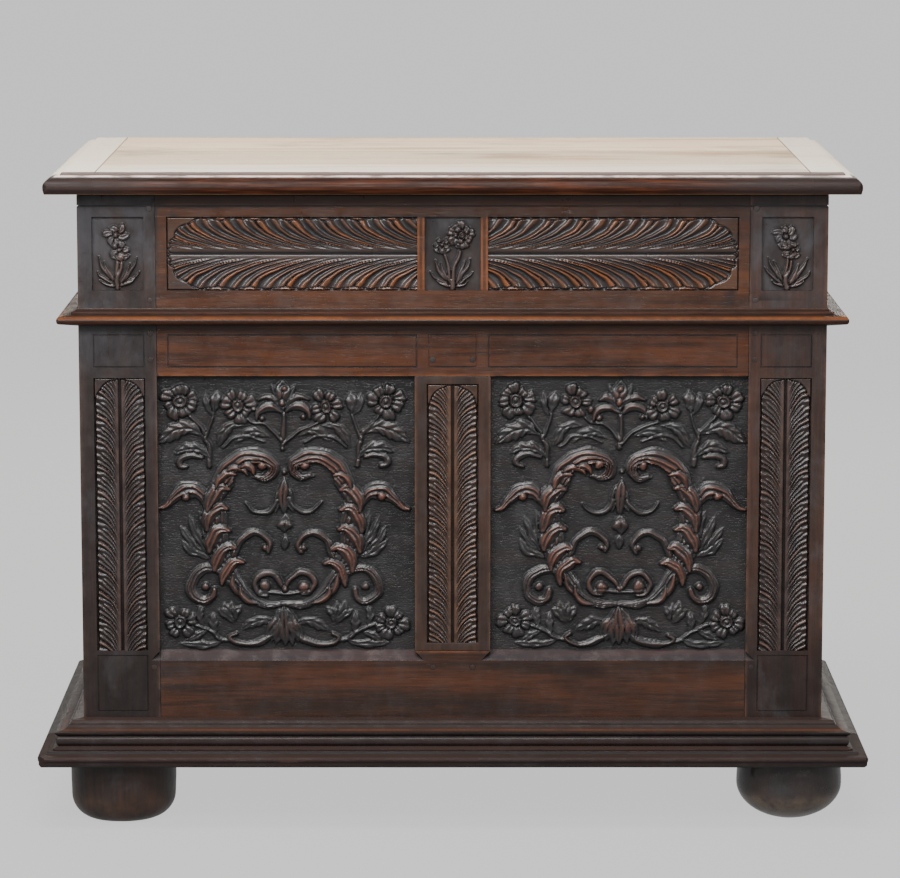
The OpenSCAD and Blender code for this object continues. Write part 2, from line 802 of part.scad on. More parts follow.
// The whole lid as one slab, moulded along its front and sides
module lid_slab() {
    flat_out = lid_out - lid_edge_w;
    side_outline = [for (p = lid_profile) p + [half_w + flat_out, 0]];
    intersection() {
        translate([0, front_y - flat_out, z_lid]) along_front(lid_half_w + past)
            polygon(concat([[-case_d - flat_out, 0]], lid_profile, [[-case_d - flat_out, lid_t]]));
        translate([0, 0, z_lid]) along_right(lid_front_y - past, back_y + past)
            polygon(both_sides(side_outline));
    }
}

tongue_z = z_lid + (lid_t - cleat_tongue_t) / 2;
tongue_front_y = lid_front_y + lid_edge_w + 16;
tongue_back_y = back_y - 16;

// Pegs driven up through the tongues, one for each plank at either end
module cleat_peg_set(r) {
    plank_middles = [(tongue_front_y + plank_front_edge) / 2, (plank_front_edge + plank_back_edge) / 2,
                     (plank_back_edge + tongue_back_y) / 2];
    for (side = [-1, 1], y = plank_middles)
        translate([side * (cleat_x + cleat_tongue_l / 2), y, z_lid])
            cylinder(r = r, h = cleat_peg_depth);
}
module cleat_pegs() { color(walnut) cleat_peg_set(cleat_peg_r); }

// The tongues at both ends of the planks, which the cleats hold
module cleat_tongues(grow = 0) {
    block(-cleat_x - cleat_tongue_l - grow, cleat_x + cleat_tongue_l + grow, tongue_front_y - grow,
        tongue_back_y + grow, tongue_z - grow, tongue_z + cleat_tongue_t + grow);
}

// A plank of the lid between y0 and y1, with its tongues
module lid_plank(y0, y1) {
    difference() {
        union() {
            intersection() {
                lid_slab();
                block(-cleat_x, cleat_x, y0, y1, z_lid - past, z_lid + lid_t + past);
            }
            intersection() {
                cleat_tongues();
                block(-lid_half_w, lid_half_w, y0, y1, z_lid - past, z_lid + lid_t + past);
            }
        }
        for (side = [0, 1]) mirror([side, 0, 0]) strap_pocket();
        strap_nail_set(nail_r + shank_gap);
        cleat_peg_set(cleat_peg_r + shank_gap);
    }
}

module lid_plank_front() { color(pale_top) lid_plank(lid_front_y, plank_front_edge); }
module lid_plank_middle() { color(pale_top) lid_plank(plank_front_edge, plank_back_edge); }
module lid_plank_back() { color(pale_top) lid_plank(plank_back_edge, back_y); }

module lid_cleat_right() {
    color(pale_top) difference() {
        intersection() {
            lid_slab();
            block(cleat_x, lid_half_w + past, lid_front_y - past, back_y,
                z_lid - past, z_lid + lid_t + past);
        }
        cleat_tongues(tenon_gap);
        cleat_peg_set(cleat_peg_r + shank_gap);
    }
}
module lid_cleat_left() { to_left() lid_cleat_right(); }

// Hinges

strap_tip_w = leaf_w * 0.45;

// Outline of the right strap seen from above, grown by g all round
module strap_outline(g = 0) {
    y_tip = back_y - strap_l;
    polygon([[hinge_x - leaf_w / 2 - g, back_y + g], [hinge_x - leaf_w / 2 - g, back_y - 40],
        [hinge_x - strap_tip_w / 2 - g, y_tip], [hinge_x + strap_tip_w / 2 + g, y_tip],
        [hinge_x + leaf_w / 2 + g, back_y - 40], [hinge_x + leaf_w / 2 + g, back_y + g]]);
    translate([hinge_x, y_tip]) circle(r = strap_tip_w * 0.75 + g);
}

module strap_pocket() {
    translate([0, 0, z_lid - past]) linear_extrude(leaf_t + past + tenon_gap) strap_outline(tenon_gap);
}

// Distances of a strap's nails from the back of the lid
strap_nails = [for (share = [0.12, 0.42, 0.72, 1]) strap_l * share];

// Nails driven up through both straps, with their heads filed flush
module strap_nail_set(r) {
    for (side = [-1, 1], d = strap_nails) translate([side * hinge_x, back_y - d, z_lid])
        cylinder(r = r, h = nail_l + leaf_t);
}

module hinge_strap_right() {
    x0 = hinge_x - knuckle_l / 2 + knuckle_gap / 2;
    x1 = hinge_x + knuckle_l / 2 - knuckle_gap / 2;
    color(iron) difference() {
        union() {
            translate([0, 0, z_lid]) linear_extrude(leaf_t) strap_outline();
            block(x0, x1, back_y - past, hinge_y, z_lid, z_lid + leaf_t);
            translate([x0, hinge_y, hinge_z]) rotate([0, 90, 0]) cylinder(r = knuckle_r, h = x1 - x0);
        }
        translate([x0 - past, hinge_y, hinge_z]) rotate([0, 90, 0])
            cylinder(r = hinge_pin_r + pin_gap, h = x1 - x0 + 2 * past);
        strap_nail_set(nail_r + shank_gap);
    }
}
module hinge_strap_left() { to_left() hinge_strap_right(); }

module hinge_nails_lid() { color(iron) strap_nail_set(nail_r); }

plate_nails = [for (share = [0.32, 0.6, 0.88]) plate_l * share];

// Nails driven through both plates into the back rail
module plate_nail_set(r, head_r) {
    for (side = [-1, 1], d = plate_nails) translate([side * hinge_x, back_y + leaf_t, hinge_z - d])
        rotate([90, 0, 0]) {
            cylinder(r = r, h = nail_l + leaf_t);
            translate([0, 0, -nail_head_t]) cylinder(r = head_r, h = nail_head_t);
        }
}

module hinge_plate_right() {
    notch_top = hinge_z - knuckle_r - knuckle_gap;
    notch_x = knuckle_l / 2 + knuckle_gap / 2;
    color(iron) difference() {
        union() {
            block(hinge_x - leaf_w / 2, hinge_x + leaf_w / 2, back_y, back_y + leaf_t,
                hinge_z - plate_l, hinge_z);
            for (x = [hinge_x - leaf_w / 2, hinge_x + notch_x])
                translate([x, hinge_y, hinge_z]) rotate([0, 90, 0])
                    cylinder(r = knuckle_r, h = leaf_w / 2 - notch_x);
        }
        block(hinge_x - notch_x, hinge_x + notch_x, back_y - past, back_y + 2 * knuckle_r,
            notch_top, hinge_z + knuckle_r + past);
        translate([hinge_x - leaf_w, hinge_y, hinge_z]) rotate([0, 90, 0])
            cylinder(r = hinge_pin_r + pin_gap, h = 2 * leaf_w);
        plate_nail_set(nail_r + shank_gap, nail_r + shank_gap);
    }
}
module hinge_plate_left() { to_left() hinge_plate_right(); }

module hinge_pin_right() {
    head_t = 2;
    color(iron) translate([hinge_x - leaf_w / 2, hinge_y, hinge_z]) rotate([0, 90, 0]) {
        cylinder(r = hinge_pin_r, h = leaf_w);
        for (z = [-head_t, leaf_w]) translate([0, 0, z]) cylinder(r = hinge_pin_r + 1.5, h = head_t);
    }
}
module hinge_pin_left() { to_left() hinge_pin_right(); }

module hinge_nails_case() { color(iron) plate_nail_set(nail_r, nail_head_r); }

foot_front_left();
foot_front_right();
foot_back_left();
foot_back_right();
base_board_front();
base_board_left();
base_board_right();
base_board_back();
plinth_moulding_front();
plinth_moulding_left();
plinth_moulding_right();
post_front_left();
post_front_right();
post_back_left();
post_back_right();
frieze_rail_front();
upper_rail_front();
bottom_rail_front();
muntin_front();
front_panel_left();
front_panel_right();
mid_moulding_front();
mid_moulding_left();
mid_moulding_right();
frieze_rail_left();
upper_rail_left();
bottom_rail_left();
side_panel_left();
frieze_rail_right();
upper_rail_right();
bottom_rail_right();
side_panel_right();
top_rail_back();
bottom_rail_back();
muntin_back();
back_panel_left();
back_panel_right();
floor_board_left();
floor_board_mid_left();
floor_board_mid_right();
floor_board_right();
floor_nails();
joint_pegs_front();
joint_pegs_sides();
joint_pegs_back();
hinge_plate_left();
hinge_plate_right();
hinge_pin_left();
hinge_pin_right();
hinge_nails_case();
lid_plank_front();
lid_plank_middle();
lid_plank_back();
lid_cleat_left();
lid_cleat_right();
cleat_pegs();
hinge_strap_left();
hinge_strap_right();
hinge_nails_lid();
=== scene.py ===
"""Dresses the carved coffer: its carving, eased edges, wood and iron finishes, and the studio round it."""
import json
import logging
import math
import random
from collections.abc import Callable
from dataclasses import dataclass, field
from enum import Enum

import bmesh
import bpy
import numpy as np
from mathutils import Matrix, Vector, noise

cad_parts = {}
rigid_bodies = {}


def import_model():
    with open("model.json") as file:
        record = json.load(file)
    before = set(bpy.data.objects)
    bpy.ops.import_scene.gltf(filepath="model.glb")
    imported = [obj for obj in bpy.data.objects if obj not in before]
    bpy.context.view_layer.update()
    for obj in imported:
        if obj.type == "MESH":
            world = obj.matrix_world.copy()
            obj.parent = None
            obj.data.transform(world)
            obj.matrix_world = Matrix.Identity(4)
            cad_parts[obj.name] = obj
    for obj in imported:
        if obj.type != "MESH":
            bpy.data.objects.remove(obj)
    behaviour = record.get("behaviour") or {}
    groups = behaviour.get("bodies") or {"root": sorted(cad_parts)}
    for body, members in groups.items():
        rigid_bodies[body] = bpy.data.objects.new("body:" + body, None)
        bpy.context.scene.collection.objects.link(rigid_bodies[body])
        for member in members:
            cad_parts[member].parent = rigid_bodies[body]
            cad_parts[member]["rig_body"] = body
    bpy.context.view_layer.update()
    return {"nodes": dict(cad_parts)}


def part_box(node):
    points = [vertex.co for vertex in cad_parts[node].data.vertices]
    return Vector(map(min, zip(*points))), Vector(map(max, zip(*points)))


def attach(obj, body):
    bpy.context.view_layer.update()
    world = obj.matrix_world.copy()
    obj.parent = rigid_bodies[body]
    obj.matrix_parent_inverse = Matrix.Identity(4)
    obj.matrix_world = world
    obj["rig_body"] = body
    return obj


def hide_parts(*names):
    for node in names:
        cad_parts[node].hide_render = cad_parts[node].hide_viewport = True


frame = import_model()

MM = 0.001
LOG = logging.getLogger("coffer")

# Places that several pieces share, in millimetres
FEET_TOP = round(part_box("base_board_front")[0].z / MM, 2)
POST_MIDDLE = 480.0
PANEL_LOW = FEET_TOP + 160.0
FRIEZE_LOW = FEET_TOP + 688.0
FRIEZE_FIELD = 106.0
FIELD_GROUND = -267.15

Tone = tuple[int, int, int]
Point = tuple[float, float]
Spot = tuple[float, float, float]
Arrays = tuple[np.ndarray, np.ndarray, np.ndarray]


def linear(tone: Tone) -> tuple[float, float, float, float]:
    """Turns an 8-bit screen colour into a linear one.

    Args:
        tone: Red, green and blue from 0 to 255.

    Returns:
        The linear colour with full alpha.
    """
    shares = (part / 255 for part in tone)
    parts = [share / 12.92 if share <= 0.04045 else ((share + 0.055) / 1.055) ** 2.4 for share in shares]
    return (parts[0], parts[1], parts[2], 1.0)


# Node trees


class Signal:
    """A value on its way through a node tree, with plain arithmetic on it."""

    def __init__(self, sheet: "Sheet", socket: bpy.types.NodeSocket) -> None:
        """Keeps the tree and the socket that gives the value."""
        self.sheet = sheet
        self.socket = socket

    def calc(self, operation: str, *others: object) -> "Signal":
        """Puts a math node with this operation after the value."""
        return self.sheet.out(self.sheet.add("ShaderNodeMath", self, *others, operation=operation))

    def __add__(self, other: object) -> "Signal":
        """Adds a value."""
        return self.calc("ADD", other)

    def __sub__(self, other: object) -> "Signal":
        """Takes a value away."""
        return self.calc("SUBTRACT", other)

    def __mul__(self, other: object) -> "Signal":
        """Multiplies by a value."""
        return self.calc("MULTIPLY", other)

    def __truediv__(self, other: object) -> "Signal":
        """Divides by a value."""
        return self.calc("DIVIDE", other)

    def flipped(self) -> "Signal":
        """Gives one minus the value."""
        return self.sheet.out(self.sheet.add("ShaderNodeMath", 1.0, self, operation="SUBTRACT"))

    def eased(self, low: float, high: float, first: float = 0.0, last: float = 1.0) -> "Signal":
        """Maps the value smoothly from one range to another.

        Args:
            low: Value that gives first.
            high: Value that gives last.
            first: Result at low.
            last: Result at high.

        Returns:
            The mapped value.
        """
        return self.sheet.out(self.sheet.add("ShaderNodeMapRange", self, low, high, first, last,
                                             interpolation_type="SMOOTHSTEP"))

    def faded(self, low: float, high: float) -> "Signal":
        """Maps the value smoothly from one at low to zero at high."""
        return self.eased(low, high, 1.0, 0.0)


class Sheet:
    """A node tree with a few short ways to add to it."""

    def __init__(self, tree: bpy.types.NodeTree) -> None:
        """Starts with an empty tree."""
        self.tree = tree
        tree.nodes.clear()

    def add(self, kind: str, *inputs: object, **settings: object) -> bpy.types.Node:
        """Adds a node.

        Args:
            kind: The node's type.
            inputs: Values or signals for its sockets in order; None leaves a socket as it is.
            settings: The node's own settings.

        Returns:
            The node.
        """
        node = self.tree.nodes.new(kind)
        for key, value in settings.items():
            setattr(node, key, value)
        for socket, value in zip(node.inputs, inputs):
            self.feed(socket, value)
        return node

    def wired(self, kind: str, sockets: dict[str, object], **settings: object) -> bpy.types.Node:
        """Adds a node whose inputs are given by name.

        Args:
            kind: The node's type.
            sockets: Values or signals for its inputs, by name.
            settings: The node's own settings.

        Returns:
            The node.
        """
        node = self.add(kind, **settings)
        for socket in node.inputs:
            if socket.enabled:
                self.feed(socket, sockets.get(socket.name))
        return node

    def feed(self, socket: bpy.types.NodeSocket, value: object) -> None:
        """Gives a socket a value or a link.

        Args:
            socket: The socket to feed.
            value: A signal, another socket, a plain value or None.
        """
        if isinstance(value, Signal):
            self.tree.links.new(value.socket, socket)
        elif isinstance(value, bpy.types.NodeSocket):
            self.tree.links.new(value, socket)
        elif value is not None:
            socket.default_value = value

    def out(self, node: bpy.types.Node, index: int | str = 0) -> Signal:
        """Gives one of a node's outputs as a signal."""
        return Signal(self, node.outputs[index])

    def mixed(self, share: object, first: object, second: object) -> Signal:
        """Mixes two colours.

        Args:
            share: Share of the second colour.
            first: First colour.
            second: Second colour.

        Returns:
            The mixed colour.
        """
        node = self.wired("ShaderNodeMix", {"Factor": share, "A": first, "B": second}, data_type="RGBA")
        return self.out(node, 2)

    def stretched(self, vector: Signal, scale: Spot) -> Signal:
        """Scales a vector by a factor for each axis."""
        return self.out(self.add("ShaderNodeVectorMath", vector, scale, operation="MULTIPLY"))

    def cloud(self, vector: Signal, scale: float, detail: float = 2.0, rough: float = 0.5,
              twist: float = 0.0) -> Signal:
        """Adds a noise texture.

        Args:
            vector: Where the noise is read.
            scale: Its scale.
            detail: Its finer octaves.
            rough: Strength of the finer octaves.
            twist: Distortion.

        Returns:
            The noise from 0 to 1.
        """
        return self.out(self.wired("ShaderNodeTexNoise", {
            "Vector": vector, "Scale": scale, "Detail": detail, "Roughness": rough, "Distortion": twist}))

    def axes(self, vector: Signal) -> tuple[Signal, Signal, Signal]:
        """Splits a vector into its X, Y and Z."""
        node = self.add("ShaderNodeSeparateXYZ", vector)
        return self.out(node, 0), self.out(node, 1), self.out(node, 2)

    def marked(self, name: str) -> Signal:
        """Reads a number that a piece's mesh carries."""
        return self.out(self.add("ShaderNodeAttribute", attribute_name=name), "Fac")


def new_material(name: str, dress: Callable[[Sheet, Signal], bpy.types.Node]) -> bpy.types.Material:
    """Makes a material from Object coordinates.

    Args:
        name: The material's name.
        dress: Adds the shader to the material's tree, given the place that is read.

    Returns:
        The material.
    """
    made = bpy.data.materials.new(name)
    made.use_nodes = True
    sheet = Sheet(made.node_tree)
    spot = sheet.out(sheet.add("ShaderNodeTexCoord"), "Object")
    sheet.add("ShaderNodeOutputMaterial", sheet.out(dress(sheet, spot)))
    return made


# Finishes


class Grain(Enum):
    """The way that a piece's grain runs, as how fast the figure changes along each axis."""

    ALONG_X = (0.06, 1.0, 1.0)
    ALONG_Y = (1.0, 0.06, 1.0)
    ALONG_Z = (1.0, 1.0, 0.06)


Layers = tuple[Signal, Signal, Signal]


@dataclass(frozen=True)
class WoodFinish:
    """Stained and waxed wood, darker in its hollows and rubbed through on what stands out.

    Its four tones are the body's, the deep one of hollows, the warm one of the grain and the worn one of
    ridges. The shares streaks, rub and warmth say how much of each effect shows. Two more shares paint a
    bluish-grey sheen, standing in for reflected light, in mottled patches and over a piece's upper parts, and
    the shadow share paints shade low down, darker towards the floor.
    """

    name: str
    slot: str
    body: Tone
    deep: Tone
    warm: Tone
    worn: Tone
    rough: float = 0.36
    coat: float = 0.5
    coat_rough: float = 0.14
    gloss: float = 0.5
    streaks: float = 0.6
    rub: float = 0.7
    rub_from: float = 0.3
    cool_sheen: float = 0.3
    ripple: float = 1.6
    punched: float = 0.0
    grain_depth: float = 0.25
    upper_sheen: float = 0.0
    shadow: float = 0.0
    warmth: float = 0.0
    dull_rough: float = 0.7
    dull_gloss: float = 0.2
    dust: Tone = (58, 54, 56)
    # Bluish-grey of the painted sheen, which stands in for reflected light
    painted_sheen_tone: Tone = (75, 73, 76)

    def material(self, grain: Grain) -> bpy.types.Material:
        """Gives the finish's material for one way of the grain, made on its first use.

        Args:
            grain: The way that the grain runs.

        Returns:
            The material.
        """
        name = f"{self.name}_{grain.name.lower()}"
        known = bpy.data.materials.get(name)
        return known or new_material(name, lambda sheet, spot: self.shader(sheet, spot, grain))

    def colour(self, sheet: Sheet, spot: Signal, grain: Grain) -> Layers:
        """Lays the wood's colours over each other.

        Args:
            sheet: The material's tree.
            spot: Where on the object the colour is read.
            grain: The way that the grain runs.

        Returns:
            The colour, the fine figure of the grain as a height, and how dull the surface is from 0 to 1.
        """
        laid = sheet.stretched(spot, grain.value)
        figure = sheet.cloud(laid, 38.0, 3.0, 0.55, 0.6)
        fibre = sheet.cloud(laid, 330.0, 3.0, 0.6, 0.2)
        pores = sheet.cloud(laid, 900.0, 1.0, 0.5).eased(0.60, 0.72)
        broad = tuple(0.5 + 0.5 * part for part in grain.value)
        patches = sheet.cloud(sheet.stretched(spot, broad), 9.0, 4.0, 0.62)
        sheen_patches = sheet.cloud(sheet.stretched(spot, (1.0, 1.0, 0.7)), 17.0, 4.0, 0.65, 0.4)
        scuffs = sheet.cloud(spot, 41.0, 4.0, 0.65)
        relief = sheet.marked("relief").eased(self.rub_from, 1.0)
        streak = (figure * 0.65 + fibre * 0.35).eased(0.36, 0.68) * self.streaks
        tone = sheet.mixed(streak, linear(self.body), linear(self.warm))
        tone = sheet.mixed(patches.eased(0.50, 0.78) * 0.5, tone, linear(self.deep))
        level = sheet.axes(spot)[2]
        tone = sheet.mixed(level.faded(0.22, 0.30) * self.shadow, tone, linear(self.deep))
        # Painted sheen: a bluish-grey haze in mottled patches and over the upper parts, standing in for
        # reflected light
        upper = level.eased(0.50, 0.88) * self.upper_sheen
        painted_sheen = sheen_patches.eased(0.50, 0.74) * self.cool_sheen + upper * sheen_patches.eased(0.40, 0.60, 0.2, 1.0)
        tone = sheet.mixed(painted_sheen, tone, linear(self.painted_sheen_tone))
        mellow = sheet.cloud(spot, 14.0, 3.0, 0.6).eased(0.38, 0.60, 0.25, 1.0)
        mellow = sheet.marked("relief").eased(0.42, 0.95) * mellow * self.warmth
        tone = sheet.mixed(mellow, tone, linear(self.warm))
        rubbed = (sheet.marked("ridge") * relief + sheet.marked("arris").calc("POWER", 2.0)) * self.rub
        rubbed = rubbed * scuffs.eased(0.30, 0.62)
        tone = sheet.mixed(rubbed.calc("MINIMUM", 1.0), tone, linear(self.worn))
        sunk = sheet.marked("hollow") * 0.88 + sheet.marked("joint") * 0.9 + pores * 0.35 * self.streaks
        tone = sheet.mixed(sunk.calc("MINIMUM", 1.0), tone, linear(self.deep))
        shade = sheet.wired("ShaderNodeHueSaturation", {
            "Value": sheet.marked("tone") * 0.16 + 1.0, "Color": tone})
        dust = sheet.marked("dust") * scuffs.eased(0.15, 0.6, 0.75, 1.0)
        dusty = sheet.mixed(dust * 0.55, sheet.out(shade), linear(self.dust))
        return dusty, fibre * 0.6 - pores * 0.6 + figure * 0.5, dust

    def shader(self, sheet: Sheet, spot: Signal, grain: Grain) -> bpy.types.Node:
        """Adds the wood's shader.

        Args:
            sheet: The material's tree.
            spot: Where on the object the material is read.
            grain: The way that the grain runs.

        Returns:
            The shader.
        """
        colour, lift, dull = self.colour(sheet, spot, grain)
        wax = sheet.cloud(spot, 29.0, 4.0, 0.65)
        rough = wax.eased(0.3, 0.75, self.rough - 0.10, self.rough + 0.14) + sheet.marked("hollow") * 0.12
        lift = lift + sheet.cloud(spot, 62.0, 2.0, 0.45) * self.ripple
        coat = dull.flipped() * self.coat
        if self.punched:
            cells = sheet.wired("ShaderNodeTexVoronoi", {
                "Vector": sheet.stretched(spot, (0.6, 1.0, 1.0)), "Scale": 330.0})
            flat = sheet.marked("relief").faded(0.02, 0.12)
            dots = sheet.out(cells).eased(0.1, 0.55) * flat * self.punched
            lift = lift + dots * 0.8 + sheet.cloud(sheet.stretched(spot, (0.6, 1.0, 1.2)), 420.0) * flat * 0.8
            coat = coat * sheet.marked("relief").eased(0.04, 0.3, 0.25, 1.0)
        bump = sheet.wired("ShaderNodeBump", {
            "Strength": self.grain_depth, "Distance": 0.8 * MM, "Height": lift})
        return sheet.wired("ShaderNodeBsdfPrincipled", {
            "Base Color": colour, "Roughness": rough * dull.flipped() + dull * self.dull_rough,
            "Normal": sheet.out(bump), "Coat Weight": coat, "Coat Roughness": self.coat_rough,
            "Specular IOR Level": dull.flipped() * self.gloss + dull * self.dull_gloss})


@dataclass(frozen=True)
class LidFinish(WoodFinish):
    """Bleached and waxed top with dark, rubbed edges, a painted highlight along the nose and a raw underside.
    """

    edge: Tone = (43, 22, 14)
    edge_warm: Tone = (82, 42, 24)
    edge_ends: Tone = (50, 43, 42)
    # Colour of the painted highlight along the top of the nose
    painted_highlight: Tone = (246, 228, 222)
    rim: Tone = (128, 112, 106)
    raw: Tone = (112, 84, 58)
    raw_dark: Tone = (82, 60, 42)
    bleached: Tone = (255, 248, 240)
    tanned: Tone = (226, 194, 160)
    stained: Tone = (196, 156, 122)
    cleat: Tone = (255, 244, 228)
    top_at: float = FEET_TOP + 858.0
    crack_at: float = 247.0

    def edge_colour(self, sheet: Sheet, spot: Signal, grain: Grain, drift: Signal) -> Signal:
        """Lays the colours of the moulded edge, with a painted highlight along its nose, and, below it, of
        the underside.

        Args:
            sheet: The material's tree.
            spot: Where on the object the colour is read.
            grain: The way that the grain runs.
            drift: Unevenness around zero.

        Returns:
            The colour.
        """
        along, _, level = sheet.axes(spot)
        over = level / MM - self.top_at
        band = sheet.cloud(sheet.stretched(spot, (0.09, 1.0, 2.6)), 110.0, 4.0, 0.6).eased(0.42, 0.70)
        side = sheet.mixed(band, linear(self.edge), linear(self.edge_warm))
        ends = (along + 0.03).calc("ABSOLUTE").eased(0.30, 0.50, 0.0, 0.8)
        side = sheet.mixed(ends, side, linear(self.edge_ends))
        # Painted highlight: a bright, broken line along the top of the nose, where the lamps would reflect
        painted_highlight = over.eased(-4.4, -3.6) * over.faded(-2.8, -2.2) * drift.eased(-0.16, 0.06, 0.35, 1.0)
        side = sheet.mixed(painted_highlight, side, linear(self.painted_highlight))
        lengthways = tuple(0.05 if part < 1.0 else part for part in grain.value)
        figure = sheet.cloud(sheet.stretched(spot, lengthways), 60.0, 4.0, 0.6, 0.4).eased(0.34, 0.70)
        under = sheet.mixed(figure, linear(self.raw), linear(self.raw_dark))
        side = sheet.mixed(over.faded(-27.4, -26.4), side, under)
        return sheet.mixed(over.eased(-2.2, -1.6) * 0.7, side, linear(self.rim))

    def top_colour(self, sheet: Sheet, spot: Signal, top: Signal, drift: Signal) -> Signal:
        """Bleaches and stains the top, and draws its crack, joints and fine splits.

        Args:
            sheet: The material's tree.
            spot: Where on the object the colour is read.
            top: The wood's own colour.
            drift: Unevenness around zero.

        Returns:
            The colour.
        """
        along, back, _ = sheet.axes(spot)
        wander = sheet.cloud(sheet.stretched(spot, (1.0, 0.0, 0.0)), 9.0, 3.0, 0.6) - 0.5
        offset = back / MM - self.crack_at + wander * 14.0
        line = offset.calc("ABSOLUTE").faded(0.5, 1.3) * along.eased(-0.45, -0.2) * along.faded(0.25, 0.45)
        line = (line * 0.7).calc("MAXIMUM", sheet.marked("arris").eased(0.70, 0.90) * 0.9)
        stain = sheet.cloud(sheet.stretched(spot, (0.14, 1.5, 1.0)), 13.0, 4.0, 0.62).eased(0.48, 0.68)
        stain = stain * along.eased(-0.55, 0.4, 0.35, 0.9) * back.eased(-0.22, 0.1, 0.4, 1.0)
        top = sheet.mixed(back.eased(-0.27, -0.05, 0.55, 0.0), top, linear(self.bleached))
        top = sheet.mixed(back.eased(0.0, 0.3, 0.0, 0.4), top, linear(self.tanned))
        top = sheet.mixed(stain, top, linear(self.stained))
        top = sheet.mixed(along.calc("ABSOLUTE").eased(0.5105, 0.5115) * 0.7, top, linear(self.cleat))
        splits = sheet.cloud(sheet.stretched(spot, (0.12, 1.0, 1.0)), 95.0, 2.0, 0.5, 0.3).eased(0.66, 0.72)
        line = line.calc("MAXIMUM", splits * drift.eased(0.0, 0.12) * 0.45)
        return sheet.mixed(line, top, linear(self.deep))

    def colour(self, sheet: Sheet, spot: Signal, grain: Grain) -> Layers:
        """Blends the dark edge in below the top surface.

        Args:
            sheet: The material's tree.
            spot: Where on the object the colour is read.
            grain: The way that the grain runs.

        Returns:
            The colour, the fine figure of the grain as a height, and how dull the surface is from 0 to 1.
        """
        top, lift, _ = WoodFinish.colour(self, sheet, spot, grain)
        along, back, level = sheet.axes(spot)
        drift = sheet.cloud(spot, 24.0, 3.0, 0.6) - 0.5
        over = level / MM - self.top_at
        dull = (over + drift * 0.4).eased(-0.9, -0.4)
        up = dull * (back / MM + drift * 8.0).eased(-271.0, -265.0)
        beside = along.calc("ABSOLUTE").eased(0.5585, 0.5605) * back.eased(-0.285, -0.235)
        up = up.calc("MAXIMUM", (over + drift * 4.0).eased(-19.0, -13.0) * beside)
        side = self.edge_colour(sheet, spot, grain, drift)
        colour = sheet.mixed(up, side, self.top_colour(sheet, spot, top, drift))
        return colour, lift, dull.calc("MAXIMUM", up)


@dataclass(frozen=True)
class FriezeFinish(WoodFinish):
    """The frieze rail's wood, rubbed bright on the two bars beside its middle block."""

    bar: Tone = (122, 70, 39)
    inner: float = 40.0
    outer: float = 51.0
    low: float = FRIEZE_LOW
    high: float = FRIEZE_LOW + FRIEZE_FIELD

    def colour(self, sheet: Sheet, spot: Signal, grain: Grain) -> Layers:
        """Rubs the two bars.

        Args:
            sheet: The material's tree.
            spot: Where on the object the colour is read.
            grain: The way that the grain runs.

        Returns:
            The colour, the fine figure of the grain as a height, and how dull the surface is from 0 to 1.
        """
        tone, lift, dull = WoodFinish.colour(self, sheet, spot, grain)
        along, _, up = sheet.axes(spot)
        across, level = along.calc("ABSOLUTE") / MM, up / MM
        on_bar = across.eased(self.inner - 0.5, self.inner + 1)
        on_bar = on_bar * across.faded(self.outer - 1, self.outer + 0.5)
        on_bar = on_bar * level.eased(self.low, self.low + 3) * level.faded(self.high - 3, self.high)
        worn = sheet.cloud(sheet.stretched(spot, (1.0, 1.0, 0.35)), 70.0, 3.0, 0.6).eased(0.34, 0.6, 0.4, 1.0)
        middle = (self.inner + self.outer) / 2
        worn = worn * (across - middle).calc("ABSOLUTE").eased(1.2, 3.0, 0.15, 1.0)
        return sheet.mixed(on_bar * worn, tone, linear(self.bar)), lift, dull


@dataclass(frozen=True)
class MouldingFinish(WoodFinish):
    """A moulding's wood, with lines along its profile: bright ones of wear, dark ones of painted shade where
    the profile steps, and greyish ones of painted sheen.

    Each band has its low and high edge over the feet's top in millimetres, its share and its tone.
    """

    wear_and_painted_light: tuple[tuple[float, float, float, Tone], ...] = ()
    soft: float = 0.4

    def colour(self, sheet: Sheet, spot: Signal, grain: Grain) -> Layers:
        """Draws the lines of wear, of painted shade and of painted sheen.

        Args:
            sheet: The material's tree.
            spot: Where on the object the colour is read.
            grain: The way that the grain runs.

        Returns:
            The colour, the fine figure of the grain as a height, and how dull the surface is from 0 to 1.
        """
        tone, lift, dull = WoodFinish.colour(self, sheet, spot, grain)
        _, back, up = sheet.axes(spot)
        level = up / MM - FEET_TOP
        uneven = sheet.cloud(spot, 15.0, 4.0, 0.65).eased(0.30, 0.60, 0.35, 1.0)
        uneven = uneven * back.eased(-0.26, -0.16, 1.0, 0.3)
        # Each band paints a line of wear, of shade or of sheen along the profile
        for low, high, share, line in self.wear_and_painted_light:
            inside = level.eased(low - self.soft, low + self.soft)
            inside = inside * level.faded(high - self.soft, high + self.soft)
            tone = sheet.mixed(inside * uneven * share, tone, linear(line))
        return tone, lift, dull


